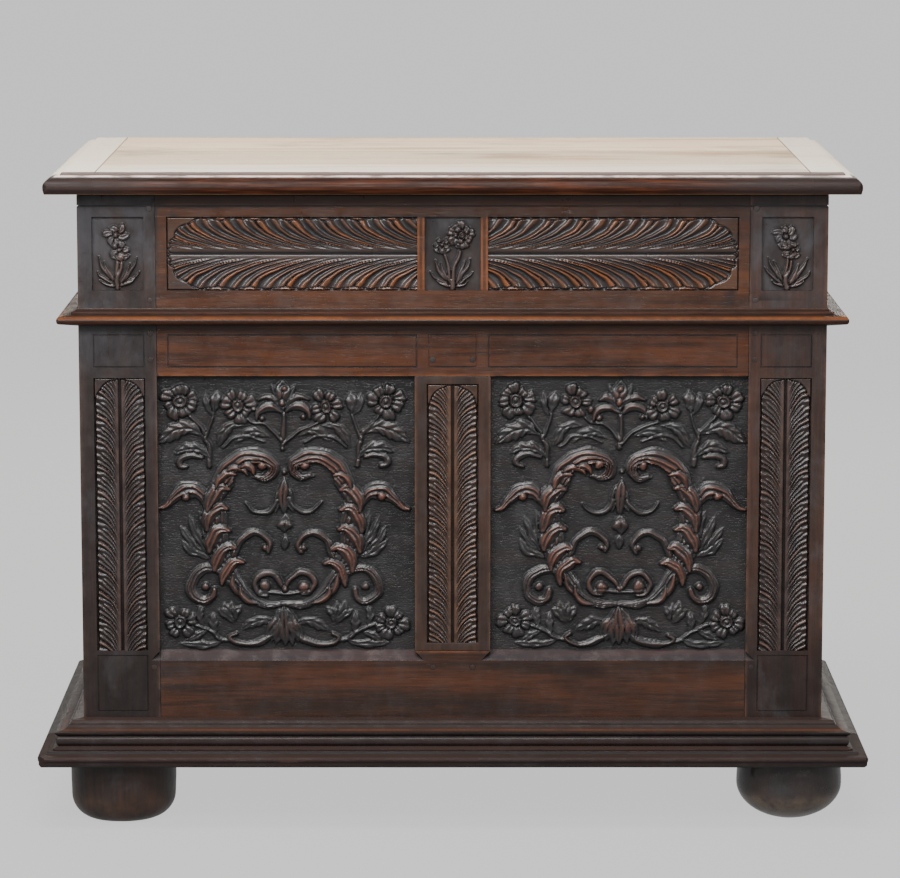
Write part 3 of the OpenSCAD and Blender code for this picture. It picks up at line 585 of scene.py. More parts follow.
@dataclass(frozen=True)
class IronFinish:
    """Forged iron, dark and a little rusty."""

    name: str = "forged_iron"
    slot: str = "forged_iron"
    bare: Tone = (64, 62, 62)
    rusty: Tone = (104, 62, 42)
    rough: float = 0.5

    def material(self, grain: Grain = Grain.ALONG_X) -> bpy.types.Material:
        """Gives the material, made on its first use.

        Args:
            grain: Not used by iron; kept so that finishes are called alike.

        Returns:
            The material.
        """
        return bpy.data.materials.get(self.name) or new_material(self.name, self.shader)

    def shader(self, sheet: Sheet, spot: Signal) -> bpy.types.Node:
        """Adds the iron's shader.

        Args:
            sheet: The material's tree.
            spot: Where on the object the material is read.

        Returns:
            The shader.
        """
        rust = sheet.cloud(spot, 60.0, 4.0, 0.65).eased(0.48, 0.7)
        hammer = sheet.cloud(spot, 140.0, 2.0, 0.5)
        bump = sheet.wired("ShaderNodeBump", {
            "Strength": 0.5, "Distance": 0.5 * MM, "Height": hammer + rust * 0.5})
        return sheet.wired("ShaderNodeBsdfPrincipled", {
            "Base Color": sheet.mixed(rust * 0.7, linear(self.bare), linear(self.rusty)),
            "Metallic": rust.eased(0.2, 0.8, 0.9, 0.1), "Normal": sheet.out(bump),
            "Roughness": rust.eased(0.0, 1.0, self.rough, self.rough + 0.3)})


FRAME_WOOD = WoodFinish(
    "carved_frame", "carved_frame", (46, 38, 37), (20, 16, 16), (74, 54, 44), (112, 86, 74),
    cool_sheen=0.4, rub=0.55, upper_sheen=0.7, shadow=0.35, coat=0.3)
RIGHT_POST_WOOD = WoodFinish(
    "right_post", "carved_frame", (50, 39, 35), (20, 16, 16), (86, 55, 42), (120, 84, 66),
    cool_sheen=0.35, rub=0.6, upper_sheen=0.45, shadow=0.55, coat=0.3)
MUNTIN_WOOD = WoodFinish(
    "middle_stile", "carved_frame", (54, 41, 36), (21, 16, 15), (84, 58, 44), (122, 88, 68),
    cool_sheen=0.25, rub=0.6, coat=0.3)
LOW_RAIL_WOOD = WoodFinish(
    "low_rail", "polished_rail", (46, 31, 25), (22, 16, 15), (102, 58, 34), (150, 88, 50),
    cool_sheen=0.15, dust=(50, 49, 55))
RAIL_WOOD = WoodFinish(
    "polished_rail", "polished_rail", (60, 37, 27), (24, 17, 16), (120, 68, 39), (152, 89, 50),
    streaks=0.7, cool_sheen=0.15)
FRIEZE_WOOD = FriezeFinish(
    "frieze_rail", "polished_rail", (57, 36, 26), (24, 17, 16), (106, 62, 37), (156, 92, 52), cool_sheen=0.2)
BAND_WOOD = WoodFinish(
    "frieze_leaf", "polished_rail", (54, 47, 45), (32, 31, 33), (98, 61, 38), (134, 78, 42),
    cool_sheen=0.5, rub=0.85, rub_from=0.6, coat=0.55, coat_rough=0.10, rough=0.34, warmth=0.9)
PANEL_WOOD = WoodFinish(
    "carved_panel", "carved_panel", (40, 40, 41), (16, 15, 17), (88, 54, 44), (118, 76, 60),
    punched=1.0, grain_depth=0.4, streaks=0.12, cool_sheen=0.35, rub=0.7, rub_from=0.5, coat=0.28,
    coat_rough=0.14, warmth=0.7)
# Plinth and base lines, from the top down: a dark line of painted shade, an orange line of wear, another dark
# line of painted shade, and a broad cool grey band of painted sheen
BASE_WEAR_AND_PAINTED_LIGHT = (
    (54.6, 56.4, 0.7, (18, 13, 12)), (48.2, 49.8, 0.5, (104, 56, 30)), (45.0, 47.2, 0.8, (16, 12, 11)),
    (30.0, 44.0, 0.3, (58, 52, 54)))
# Middle moulding lines, from the top down: two dark lines of painted shade, an orange line of wear, a dark
# line of painted shade, and a greyish-brown band of painted sheen on the lower edge
NOSE_WEAR_AND_PAINTED_LIGHT = (
    (659.0, 660.6, 0.8, (24, 16, 14)), (654.4, 656.0, 0.85, (22, 15, 13)), (649.6, 653.2, 0.6, (136, 76, 36)),
    (645.4, 648.2, 0.8, (26, 17, 14)), (636.5, 641.5, 0.55, (70, 56, 48)))
MOULDING_WOOD = MouldingFinish(
    "moulding", "moulding", (29, 19, 17), (14, 10, 10), (56, 33, 26), (112, 76, 58),
    rough=0.42, coat=0.3, cool_sheen=0.2, rub=0.5, dust=(54, 42, 38), wear_and_painted_light=BASE_WEAR_AND_PAINTED_LIGHT)
NOSE_WOOD = MouldingFinish(
    "middle_nose", "moulding", (52, 30, 20), (20, 13, 11), (92, 50, 26), (160, 88, 40),
    rough=0.45, coat=0.2, gloss=0.35, cool_sheen=0.1, rub=0.35, dust=(38, 24, 19), wear_and_painted_light=NOSE_WEAR_AND_PAINTED_LIGHT)
SIDE_WOOD = WoodFinish(
    "side_wood", "side_wood", (56, 38, 31), (26, 18, 17), (88, 56, 41), (132, 96, 76),
    rough=0.44, coat=0.3, coat_rough=0.2)
PLAIN_WOOD = WoodFinish(
    "plain_wood", "plain_wood", (98, 74, 54), (54, 38, 28), (128, 100, 72), (150, 124, 96),
    rough=0.66, coat=0.0, gloss=0.3, rub=0.3, cool_sheen=0.1, grain_depth=0.5)
FOOT_WOOD = WoodFinish(
    "foot_wood", "foot_wood", (44, 37, 35), (18, 15, 15), (82, 54, 40), (126, 90, 66),
    rough=0.38, cool_sheen=0.75, ripple=3.0)
BUN_WOOD = WoodFinish(
    "bun_wood", "foot_wood", (60, 53, 52), (22, 18, 19), (84, 64, 54), (122, 104, 88),
    rough=0.27, coat=1.0, coat_rough=0.1, cool_sheen=0.8, ripple=4.0, rub=0.8)
LID_WOOD = LidFinish(
    "lid_wood", "lid_wood", (246, 218, 182), (84, 58, 44), (252, 232, 204), (232, 222, 210),
    rough=0.42, coat=0.0, coat_rough=0.2, gloss=0.14, streaks=0.8, rub=0.0, cool_sheen=0.0, dull_gloss=0.05)
PEG_WOOD = WoodFinish(
    "peg_wood", "polished_rail", (46, 38, 37), (20, 16, 16), (74, 54, 44), (80, 62, 54), cool_sheen=0.4, upper_sheen=0.7)
IRON = IronFinish()


# Shaping tools


# Weld and slack are in metres, angles in radians, the reach in cells and the moat in millimetres
WELD = 0.02 * MM
SLACK = 0.01 * MM
FLAT = math.radians(0.6)
CREASE = math.radians(30)
HEAD_CREASE = math.radians(40)
RIM_CREASE = math.radians(80)
BLUR_REACH = 3
MOAT = 2.6
ROUND_STEPS = (0.06, 0.2, 0.4, 0.7, 1.0)


def put_numbers(mesh: bpy.types.Mesh, name: str, values: np.ndarray, domain: str = "POINT") -> None:
    """Stores one number for each vertex or face on a mesh.

    Args:
        mesh: The mesh.
        name: Name that the finishes read.
        values: One value for each vertex or face.
        domain: POINT for vertices, FACE for faces.
    """
    layer = mesh.attributes.get(name) or mesh.attributes.new(name, "FLOAT", domain)
    layer.data.foreach_set("value", np.asarray(values, np.float32).ravel())


def places(mesh: bpy.types.Mesh) -> np.ndarray:
    """Gives the places of a mesh's vertices as rows."""
    flat = np.zeros(len(mesh.vertices) * 3, np.float32)
    mesh.vertices.foreach_get("co", flat)
    return flat.reshape(-1, 3)


def stand_in(mesh: bpy.types.Mesh, name: str, finish: WoodFinish | IronFinish, grain: Grain, body: str,
             nodes: tuple[str, ...] = ()) -> bpy.types.Object:
    """Puts a mesh into the scene as a piece of the coffer.

    Args:
        mesh: The finished mesh, in the frame's metres.
        name: The piece's name.
        finish: Its finish.
        grain: The way that its grain runs.
        body: The body that it rides on.
        nodes: CAD nodes that it stands for.

    Returns:
        The piece.
    """
    piece = bpy.data.objects.new(name, mesh)
    bpy.context.scene.collection.objects.link(piece)
    mesh.materials.clear()
    mesh.materials.append(finish.material(grain))
    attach(piece, body)
    if nodes:
        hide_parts(*nodes)
    LOG.info("%s: %d faces on %s", name, len(mesh.polygons), body)
    return piece


def bend_at(vert: bmesh.types.BMVert) -> float:
    """Tells how a surface bends at a vertex that has others close by.

    Args:
        vert: The vertex.

    Returns:
        Above zero on a ridge and below zero in a hollow.
    """
    farthest = 9 * MM
    near = sorted((edge.calc_length(), edge.other_vert(vert).co) for edge in vert.link_edges)[:2]
    if not near or near[-1][0] > farthest:
        return 0.0
    return -sum(((spot - vert.co).normalized() for _, spot in near), Vector()).dot(vert.normal) / len(near)


def weigh_normals(mesh: bpy.types.Mesh) -> None:
    """Shades a mesh smoothly between its creases, with its large faces kept flat up to their edges.

    Args:
        mesh: The mesh.
    """
    around = [[] for _ in mesh.vertices]
    for polygon in mesh.polygons:
        for vertex in polygon.vertices:
            around[vertex].append((polygon.normal.copy(), polygon.area))
    limit = math.cos(CREASE)
    normals = []
    for polygon in mesh.polygons:
        for vertex in polygon.vertices:
            near = [way * area for way, area in around[vertex] if way.dot(polygon.normal) > limit]
            normals.append(sum(near, Vector()).normalized())
    mesh.shade_smooth()
    mesh.normals_split_custom_set(normals)


@dataclass(frozen=True)
class Easing:
    """How a CAD node's arrises are softened and its faces made uneven, with lengths in millimetres.

    The shoulder is the place of the dark joint lines left and right of the middle, or 0. Each of the corners
    is the place and radius of a front corner that is worn round.
    """

    round_over: float = 1.1
    strip: float = 18.0
    sway: float = 0.3
    border: float = 6.0
    shortest: float = 7.0
    shoulder: float = 0.0
    joint_strip: float = 1.4
    joint_half: float = 1.0
    worn_profile: bool = False
    corners: tuple[Spot, ...] = ()
    dusty: bool = False
    seed: int = 1

    def bevel(self, shape: bmesh.types.BMesh) -> None:
        """Rounds the arrises.

        Args:
            shape: The node's shape.
        """
        bmesh.ops.remove_doubles(shape, verts=shape.verts, dist=WELD)
        bmesh.ops.dissolve_limit(shape, angle_limit=FLAT, verts=shape.verts, edges=shape.edges)
        arrises = [edge for edge in shape.edges if len(edge.link_faces) == 2 and edge.is_convex
                   and edge.calc_face_angle(0.0) > CREASE and edge.calc_length() > self.shortest * MM]
        bmesh.ops.bevel(shape, geom=arrises, offset=self.round_over * MM, offset_type="OFFSET", segments=2,
                        profile=0.5, affect="EDGES", clamp_overlap=True)

    def cuts(self, axis: int, low: Vector, high: Vector) -> list[float]:
        """Finds where the faces are cut across an axis, so that they can waver and wear.

        Args:
            axis: The axis.
            low: The node's low corner.
            high: Its high corner.

        Returns:
            Places along the axis, in metres.
        """
        size = high - low
        cuts = []
        if size[axis] > 3 * self.border * MM:
            cuts = [low[axis] + self.border * MM, high[axis] - self.border * MM]
        if size[axis] == max(size):
            count = max(1, int(size[axis] / (self.strip * MM)))
            cuts += [low[axis] + size[axis] * (i + 0.5) / count for i in range(count)]
        if axis == 0 and self.shoulder:
            cuts += [side * (self.shoulder - self.joint_strip) * MM for side in (-1, 1)]
        for corner in self.corners if axis < 2 else ():
            place, radius = corner[axis], corner[2]
            cuts += [(place - math.copysign(radius * share, place)) * MM for share in ROUND_STEPS]
        return cuts

    def wear(self, shape: bmesh.types.BMesh) -> None:
        """Wears the front corners round and lets the faces waver inwards.

        Args:
            shape: The node's shape, cut across.
        """
        for x, y, radius in self.corners:
            hub = Vector((x - math.copysign(radius, x), y + radius)) * MM
            for vert in shape.verts:
                away = vert.co.xy - hub
                if away.x * x > 0 > away.y and away.length > radius * MM:
                    vert.co.xy = hub + away.normalized() * radius * MM
        shape.normal_update()
        drift = Vector((self.seed * 3.1, self.seed * 1.7, self.seed * 2.3))
        for vert in shape.verts:
            wave = noise.noise(vert.co * 9.0 + drift) * 0.7 + noise.noise(vert.co * 47.0 + drift) * 0.3
            vert.co -= vert.normal * (self.sway * MM * (0.5 + 0.5 * wave))
        shape.normal_update()

    def mark(self, mesh: bpy.types.Mesh, low: Vector, high: Vector, lean: np.ndarray) -> None:
        """Marks dust, worn arrises, hollows, joints and the piece's tone, for the finish to read.

        Args:
            mesh: The eased mesh.
            low: The node's low corner.
            high: Its high corner.
            lean: How the surface bends at each vertex.
        """
        if self.dusty:
            rising = np.array([polygon.normal.z for polygon in mesh.polygons])
            put_numbers(mesh, "dust", np.clip((rising - 0.15) / 0.35, 0.0, 1.0), "FACE")
        spots = places(mesh)
        gaps = np.sort(np.minimum(spots - np.array(low), np.array(high) - spots), axis=1)
        arris = np.clip(1.0 - gaps[:, 1] / (self.border * MM), 0.0, 1.0)
        if self.worn_profile:
            arris = np.maximum(arris * 0.5, np.clip(lean * 3.0 - 0.3, 0.0, 1.0))
        put_numbers(mesh, "arris", arris)
        put_numbers(mesh, "hollow", np.clip(-lean * 4.0 - 0.2, 0.0, 1.0))
        if self.shoulder:
            off_line = np.abs(np.abs(spots[:, 0]) - self.shoulder * MM)
            put_numbers(mesh, "joint", off_line < self.joint_half * MM)
        put_numbers(mesh, "tone", np.full(len(spots), random.Random(self.seed * 7 + 1).uniform(-1.0, 1.0)))

    def mesh(self, node: str) -> bpy.types.Mesh:
        """Copies a CAD node, softened as by handwork and wear.

        Args:
            node: The CAD node.

        Returns:
            The new mesh.
        """
        shape = bmesh.new()
        shape.from_mesh(frame["nodes"][node].data)
        self.bevel(shape)
        low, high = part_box(node)
        for axis in range(3):
            way = Vector([float(axis == i) for i in range(3)])
            for cut in self.cuts(axis, low, high):
                bmesh.ops.bisect_plane(shape, geom=shape.verts[:] + shape.edges[:] + shape.faces[:],
                                       plane_co=way * cut, plane_no=way, dist=SLACK)
        self.wear(shape)
        lean = np.array([bend_at(vert) for vert in shape.verts])
        mesh = bpy.data.meshes.new(node)
        shape.to_mesh(mesh)
        shape.free()
        weigh_normals(mesh)
        self.mark(mesh, low, high, lean)
        return mesh


def eased(node: str, finish: WoodFinish | IronFinish, grain: Grain, **shaping: object) -> bpy.types.Object:
    """Puts a softened copy of a CAD node in its place.

    Args:
        node: The CAD node.
        finish: Its finish.
        grain: The way that its grain runs.
        shaping: Fields of the easing.

    Returns:
        The piece.
    """
    seed = sum(ord(letter) * (place + 1) for place, letter in enumerate(node)) % 97
    mesh = Easing(seed=seed, **shaping).mesh(node)
    return stand_in(mesh, f"{node}_finished", finish, grain, frame["nodes"][node]["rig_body"], (node,))


def close_back(mesh: bpy.types.Mesh, back: float) -> None:
    """Closes a relief with sides and a flat back.

    Args:
        mesh: The relief, facing the front.
        back: Place of its back on the Y axis, in metres.
    """
    shape = bmesh.new()
    shape.from_mesh(mesh)
    rim = [edge for edge in shape.edges if len(edge.link_faces) == 1]
    grown = bmesh.ops.extrude_edge_only(shape, edges=rim)["geom"]
    for vert in (item for item in grown if isinstance(item, bmesh.types.BMVert)):
        vert.co.y = back
    rim = [edge for edge in shape.edges if len(edge.link_faces) == 1]
    bmesh.ops.contextual_create(shape, geom=rim)
    bmesh.ops.recalc_face_normals(shape, faces=shape.faces)
    shape.to_mesh(mesh)
    shape.free()
    mesh.shade_smooth()
    mesh.set_sharp_from_angle(angle=RIM_CREASE)


def blurred(heights: np.ndarray, reach: int) -> np.ndarray:
    """Blurs a field of heights with two passes of a box.

    Args:
        heights: The field.
        reach: Half the box's width, in cells.

    Returns:
        The blurred field.
    """
    box = np.ones(2 * reach + 1) / (2 * reach + 1)
    for _ in range(2):
        for axis in (0, 1):
            padded = np.pad(heights, [(reach, reach) if a == axis else (0, 0) for a in (0, 1)], mode="edge")
            heights = np.apply_along_axis(lambda row: np.convolve(row, box, "valid"), axis, padded)
    return heights


def mark_relief(mesh: bpy.types.Mesh, heights: np.ndarray, relief: float, seed: int,
                sunk: float = 0.0) -> None:
    """Marks where a relief stands out and where it is hollow, for the finish to read.

    Args:
        mesh: The relief, whose first vertices are the field's cells in order.
        heights: The field of heights, in millimetres.
        relief: Height that counts as full.
        seed: Picks the piece's tone.
        sunk: How far depth alone counts as hollow.
    """
    around = blurred(heights, BLUR_REACH)
    rows = {
        "ridge": (np.clip((heights - around) / (0.09 * relief), 0, 1)
                  * np.clip(heights / (0.4 * relief), 0, 1)),
        "hollow": np.maximum(np.clip((around - heights) / (0.13 * relief), 0, 1),
                             sunk * np.clip((0.62 - heights / relief) / 0.35, 0, 1)),
        "relief": np.clip(heights / relief, 0, 1),
        "tone": np.full(heights.shape, random.Random(seed).uniform(-0.6, 0.6)),
    }
    for name, values in rows.items():
        whole = np.zeros(len(mesh.vertices))
        whole[:values.size] = values.ravel()
        put_numbers(mesh, name, whole)


def smooth_path(points: list[Point], count: int = 40) -> np.ndarray:
    """Draws an even curve through points.

    Args:
        points: The points.
        count: Number of points on the curve.

    Returns:
        The curve's points as rows.
    """
    rows = np.array(points, float)
    if len(rows) == 2:
        return rows[0] + (rows[1] - rows[0]) * np.linspace(0, 1, 8)[:, None]
    ends = np.vstack([2 * rows[0] - rows[1], rows, 2 * rows[-1] - rows[-2]])
    fine = []
    for i in range(len(rows) - 1):
        a, b, c, d = ends[i:i + 4]
        t = np.linspace(0, 1, 16, endpoint=False)[:, None]
        fine.append(0.5 * (2 * b + (c - a) * t + (2 * a - 5 * b + 4 * c - d) * t ** 2
                           + (3 * b - a - 3 * c + d) * t ** 3))
    fine = np.vstack([*fine, rows[-1:]])
    run = np.concatenate([[0], np.cumsum(np.hypot(*np.diff(fine, axis=0).T))])
    at = np.linspace(0, run[-1], count)
    return np.stack([np.interp(at, run, fine[:, 0]), np.interp(at, run, fine[:, 1])], 1)


@dataclass
class CarvingField:
    """A rectangle of carving, kept as heights over its ground in millimetres."""

    left: float
    low: float
    width: float
    height: float
    step: float = 1.28
    stray: float = 0.0
    seed: int = 0
    ground_sway: float = 0.35
    drift: np.ndarray = field(init=False)
    xs: np.ndarray = field(init=False)
    zs: np.ndarray = field(init=False)
    heights: np.ndarray = field(init=False)

    def __post_init__(self) -> None:
        """Lays out the cells, and how far the carver's hand strays at each."""
        self.xs = np.linspace(0, self.width, round(self.width / self.step) + 1) + self.left
        self.zs = np.linspace(0, self.height, round(self.height / self.step) + 1) + self.low
        self.heights = np.zeros((len(self.zs), len(self.xs)))
        x, z = np.meshgrid(self.xs, self.zs)
        rng = np.random.default_rng(self.seed)
        self.drift = self.stray / 2.4 * np.array([
            sum(np.sin(x / rng.uniform(4, 13) + rng.choice([-1, 1]) * z / rng.uniform(4, 13)
                       + rng.uniform(0, 6)) for _ in range(6)) for _ in range(2)])

    def window(self, low: np.ndarray, high: np.ndarray) -> tuple[slice, slice]:
        """Finds the cells inside a box.

        Args:
            low: The box's low corner.
            high: Its high corner.

        Returns:
            The rows and columns of cells.
        """
        columns = np.searchsorted(self.xs, [low[0], high[0]])
        rows = np.searchsorted(self.zs, [low[1], high[1]])
        return slice(rows[0], rows[1]), slice(columns[0], columns[1])

    def along(self, path: np.ndarray, reach: float) -> tuple[tuple[slice, slice], Arrays]:
        """Measures the cells near a path against it.

        Args:
            path: The path's points.
            reach: How far from the path cells are measured.

        Returns:
            The window of cells, and for each of them its share of the way along the path, its distance
            from the path, and that distance with a sign for the side.
        """
        window = self.window(path.min(0) - reach, path.max(0) + reach)
        x, z = np.meshgrid(self.xs[window[1]], self.zs[window[0]])
        x, z = x + self.drift[0][window], z + self.drift[1][window]
        best = np.full(x.shape, 1e9)
        share = np.zeros(x.shape)
        turn = np.ones(x.shape)
        for i, (a, b) in enumerate(zip(path[:-1], path[1:])):
            way = b - a
            t = np.clip(((x - a[0]) * way[0] + (z - a[1]) * way[1]) / (way @ way + 1e-9), 0, 1)
            dx, dz = x - a[0] - t * way[0], z - a[1] - t * way[1]
            gap = dx * dx + dz * dz
            nearer = gap < best
            best = np.where(nearer, gap, best)
            share = np.where(nearer, (i + t) / (len(path) - 1), share)
            turn = np.where(nearer, np.sign(way[0] * dz - way[1] * dx), turn)
        best = np.sqrt(best)
        return window, (share, best, best * turn)

    def lay(self, window: tuple[slice, slice], inside: np.ndarray, shape: np.ndarray, cut: float,
            cover: float = 0.0) -> None:
        """Sets a form over what is there, with a cut round its edge.

        Args:
            window: The cells.
            inside: Depth of each cell inside the form, below zero outside it.
            shape: The form's height at each cell.
            cut: Depth of the cut round it.
            cover: Share of what lies under the form that it hides.
        """
        under = self.heights[window]
        moat = np.clip(1 + inside / MOAT, 0, 1) * (inside <= 0)
        under = np.maximum(under - cut * moat, np.minimum(under, 0.0))
        self.heights[window] = np.where(inside > 0, np.maximum(under * (1 - cover), shape), under)

    def scroll(self, points: list[Point], widths: list[float], relief: list[float] | float, flutes: int = 1,
               edge: int = 0, bite: float = 0.42, cut: float = 1.6, cover: float = 0.0) -> None:
        """Carves a stem or scroll.

        Args:
            points: Points that it runs through.
            widths: Its half widths from start to end.
            relief: Its height, or its heights from start to end.
            flutes: Number of lengthwise flutes.
            edge: 1 or -1 when the points are its right or left edge instead of its middle.
            bite: Depth of the flutes as a share of the height.
            cut: Depth of the cut round it.
            cover: Share of what lies under it that it hides.
        """
        path = smooth_path(points, 14 * len(points))
        window, (share, gap, signed) = self.along(path, max(widths) * (2 if edge else 1) + 3)
        if not gap.size:
            return
        wide = np.interp(share, np.linspace(0, 1, len(widths)), widths)
        tall = np.interp(share, np.linspace(0, 1, np.size(relief)), np.atleast_1d(relief))
        across = (signed * edge - wide) / wide if edge else signed / wide
        over = np.where((share <= 0) | (share >= 1), np.maximum(np.abs(across), gap / wide), np.abs(across))
        dome = np.sqrt(np.clip(1 - over ** 2, 0, 1))
        if flutes > 1:
            cell = (across + 1) / 2 * flutes
            crest = np.abs(2 * (cell - np.floor(cell)) - 1)
            depth = bite * np.clip((wide - 2.5) / 4.0, 0.15, 1)
            dome = dome * (1 - depth + depth * crest ** 1.6)
        self.lay(window, (1 - over) * wide, tall * (0.22 + 0.78 * dome), cut, cover)

    def leaf(self, points: list[Point], half_width: float, relief: float, lobes: float = 3,
             blunt: float = 0.8) -> None:
        """Carves a leaf.

        Args:
            points: Points on its rib, from stalk to tip.
            half_width: Its half width at the widest place.
            relief: Its height.
            lobes: Number of lobes on each side.
            blunt: Below 1 for a leaf that is widest towards its tip.
        """
        path = smooth_path(points, 12 * len(points))
        window, (share, gap, _) = self.along(path, half_width + 3)
        if not gap.size:
            return
        wide = half_width * np.sin(np.pi * np.clip(share, 0.02, 0.985) ** (1 / blunt)) ** 0.7 + 0.4
        out = gap / wide
        wave = 2 * np.pi * (lobes * (share - 0.22 * out))
        reach = 1 - 0.17 * (0.5 - 0.5 * np.cos(wave))
        over = out / reach
        veins = 0.5 + 0.5 * np.cos(wave)
        rib = np.exp(-(gap / 1.3) ** 2)
        shape = np.sqrt(np.clip(1 - over ** 2, 0, 1)) * 0.6 + 0.4
        rise = 0.55 + 0.45 * np.sin(np.pi * share)
        shape = relief * shape * (0.80 + 0.20 * veins) * (1 - 0.34 * rib) * rise
        self.lay(window, (1 - over) * wide, shape, 1.4)

    def knob(self, x: float, z: float, radius: float, relief: float) -> None:
        """Carves a round bead.

        Args:
            x: Its middle along X.
            z: Its middle along Z.
            radius: Its radius.
            relief: Its height.
        """
        self.scroll([(x, z), (x + 0.2, z + 0.2)], [radius], relief, cut=1.8)

    def flower(self, x: float, z: float, radius: float, petals: int, relief: float, turn: float = 0.0,
               lean: float = 1.0) -> None:
        """Carves an open flower with a beaded middle.

        Args:
            x: Its middle along X.
            z: Its middle along Z.
            radius: Its radius.
            petals: Number of petals.
            relief: Its height.
            turn: Turn of the petals as a share of one petal.
            lean: Height over width, for a flower seen slightly from the side.
        """
        middle = np.array([x, z])
        window = self.window(middle - radius - 3, middle + radius + 3)
        dx, dz = np.meshgrid(self.xs[window[1]] - x, (self.zs[window[0]] - z) / lean)
        if not dx.size:
            return
        dx, dz = dx + self.drift[0][window], dz + self.drift[1][window]
        long, wide = radius * 0.35, radius * min(0.37, 1.05 * math.sin(math.pi / petals))
        for index in range(petals):
            angle = 2 * math.pi * (index + turn + 0.10 * math.sin(index * 2.4 + turn * 9)) / petals
            ahead, across = math.cos(angle), math.sin(angle)
            size = 1 + 0.12 * math.sin(index * 3.7 + turn * 5)
            u = (dx * ahead + dz * across - radius * 0.66 * size) / (long * size)
            v = (dz * ahead - dx * across) / (wide * size * np.clip(0.86 + 0.3 * u, 0.5, 1.1))
            gap = np.hypot(u, v) + 0.24 * np.exp(-(v / 0.3) ** 2) * np.clip(u, 0, 1)
            dome = np.sqrt(np.clip(1 - gap ** 2, 0, 1))
            crease = np.exp(-(v / 0.28) ** 2) * np.clip(0.9 - u, 0, 1)
            self.lay(window, (1 - gap) * wide, relief * (0.26 + 0.66 * dome - 0.34 * crease), 1.7, cover=0.5)
        away = np.hypot(dx, dz) / (0.36 * radius)
        ring = np.exp(-((away - 0.76) / 0.17) ** 2)
        button = np.exp(-(away / 0.34) ** 2)
        self.lay(window, (1 - away) * radius * 0.36, relief * (0.34 + 0.56 * ring + 0.52 * button), 2.2)

    def mesh(self, name: str, ground: float, back: float, seed: int, relief: float) -> bpy.types.Mesh:
        """Makes the relief's mesh, closed at its sides and back.

        Args:
            name: The mesh's name.
            ground: Place of the ground on the Y axis, in millimetres.
            back: Place of the back, in millimetres.
            seed: Picks the ground's unevenness.
            relief: Height that counts as full.

        Returns:
            The mesh.
        """
        x, z = np.meshgrid(self.xs, self.zs)
        rng = np.random.default_rng(seed)
        waves = sum(np.sin(x / rng.uniform(5, 30) + z / rng.uniform(5, 30) * rng.choice([-1, 1])
                           + rng.uniform(0, 6)) for _ in range(7)) / 7
        heights = np.maximum(self.heights, 0) + self.ground_sway * waves
        rows, columns = heights.shape
        spots = np.stack([x * MM, (ground - heights) * MM, z * MM], -1).reshape(-1, 3)
        index = np.arange(rows * columns).reshape(rows, columns)
        faces = np.stack([index[:-1, :-1], index[:-1, 1:], index[1:, 1:], index[1:, :-1]], -1).reshape(-1, 4)
        mesh = bpy.data.meshes.new(name)
        mesh.from_pydata(spots.tolist(), [], faces.tolist())
        close_back(mesh, back * MM)
        mark_relief(mesh, heights, relief, seed)
        return mesh


# Carved pieces


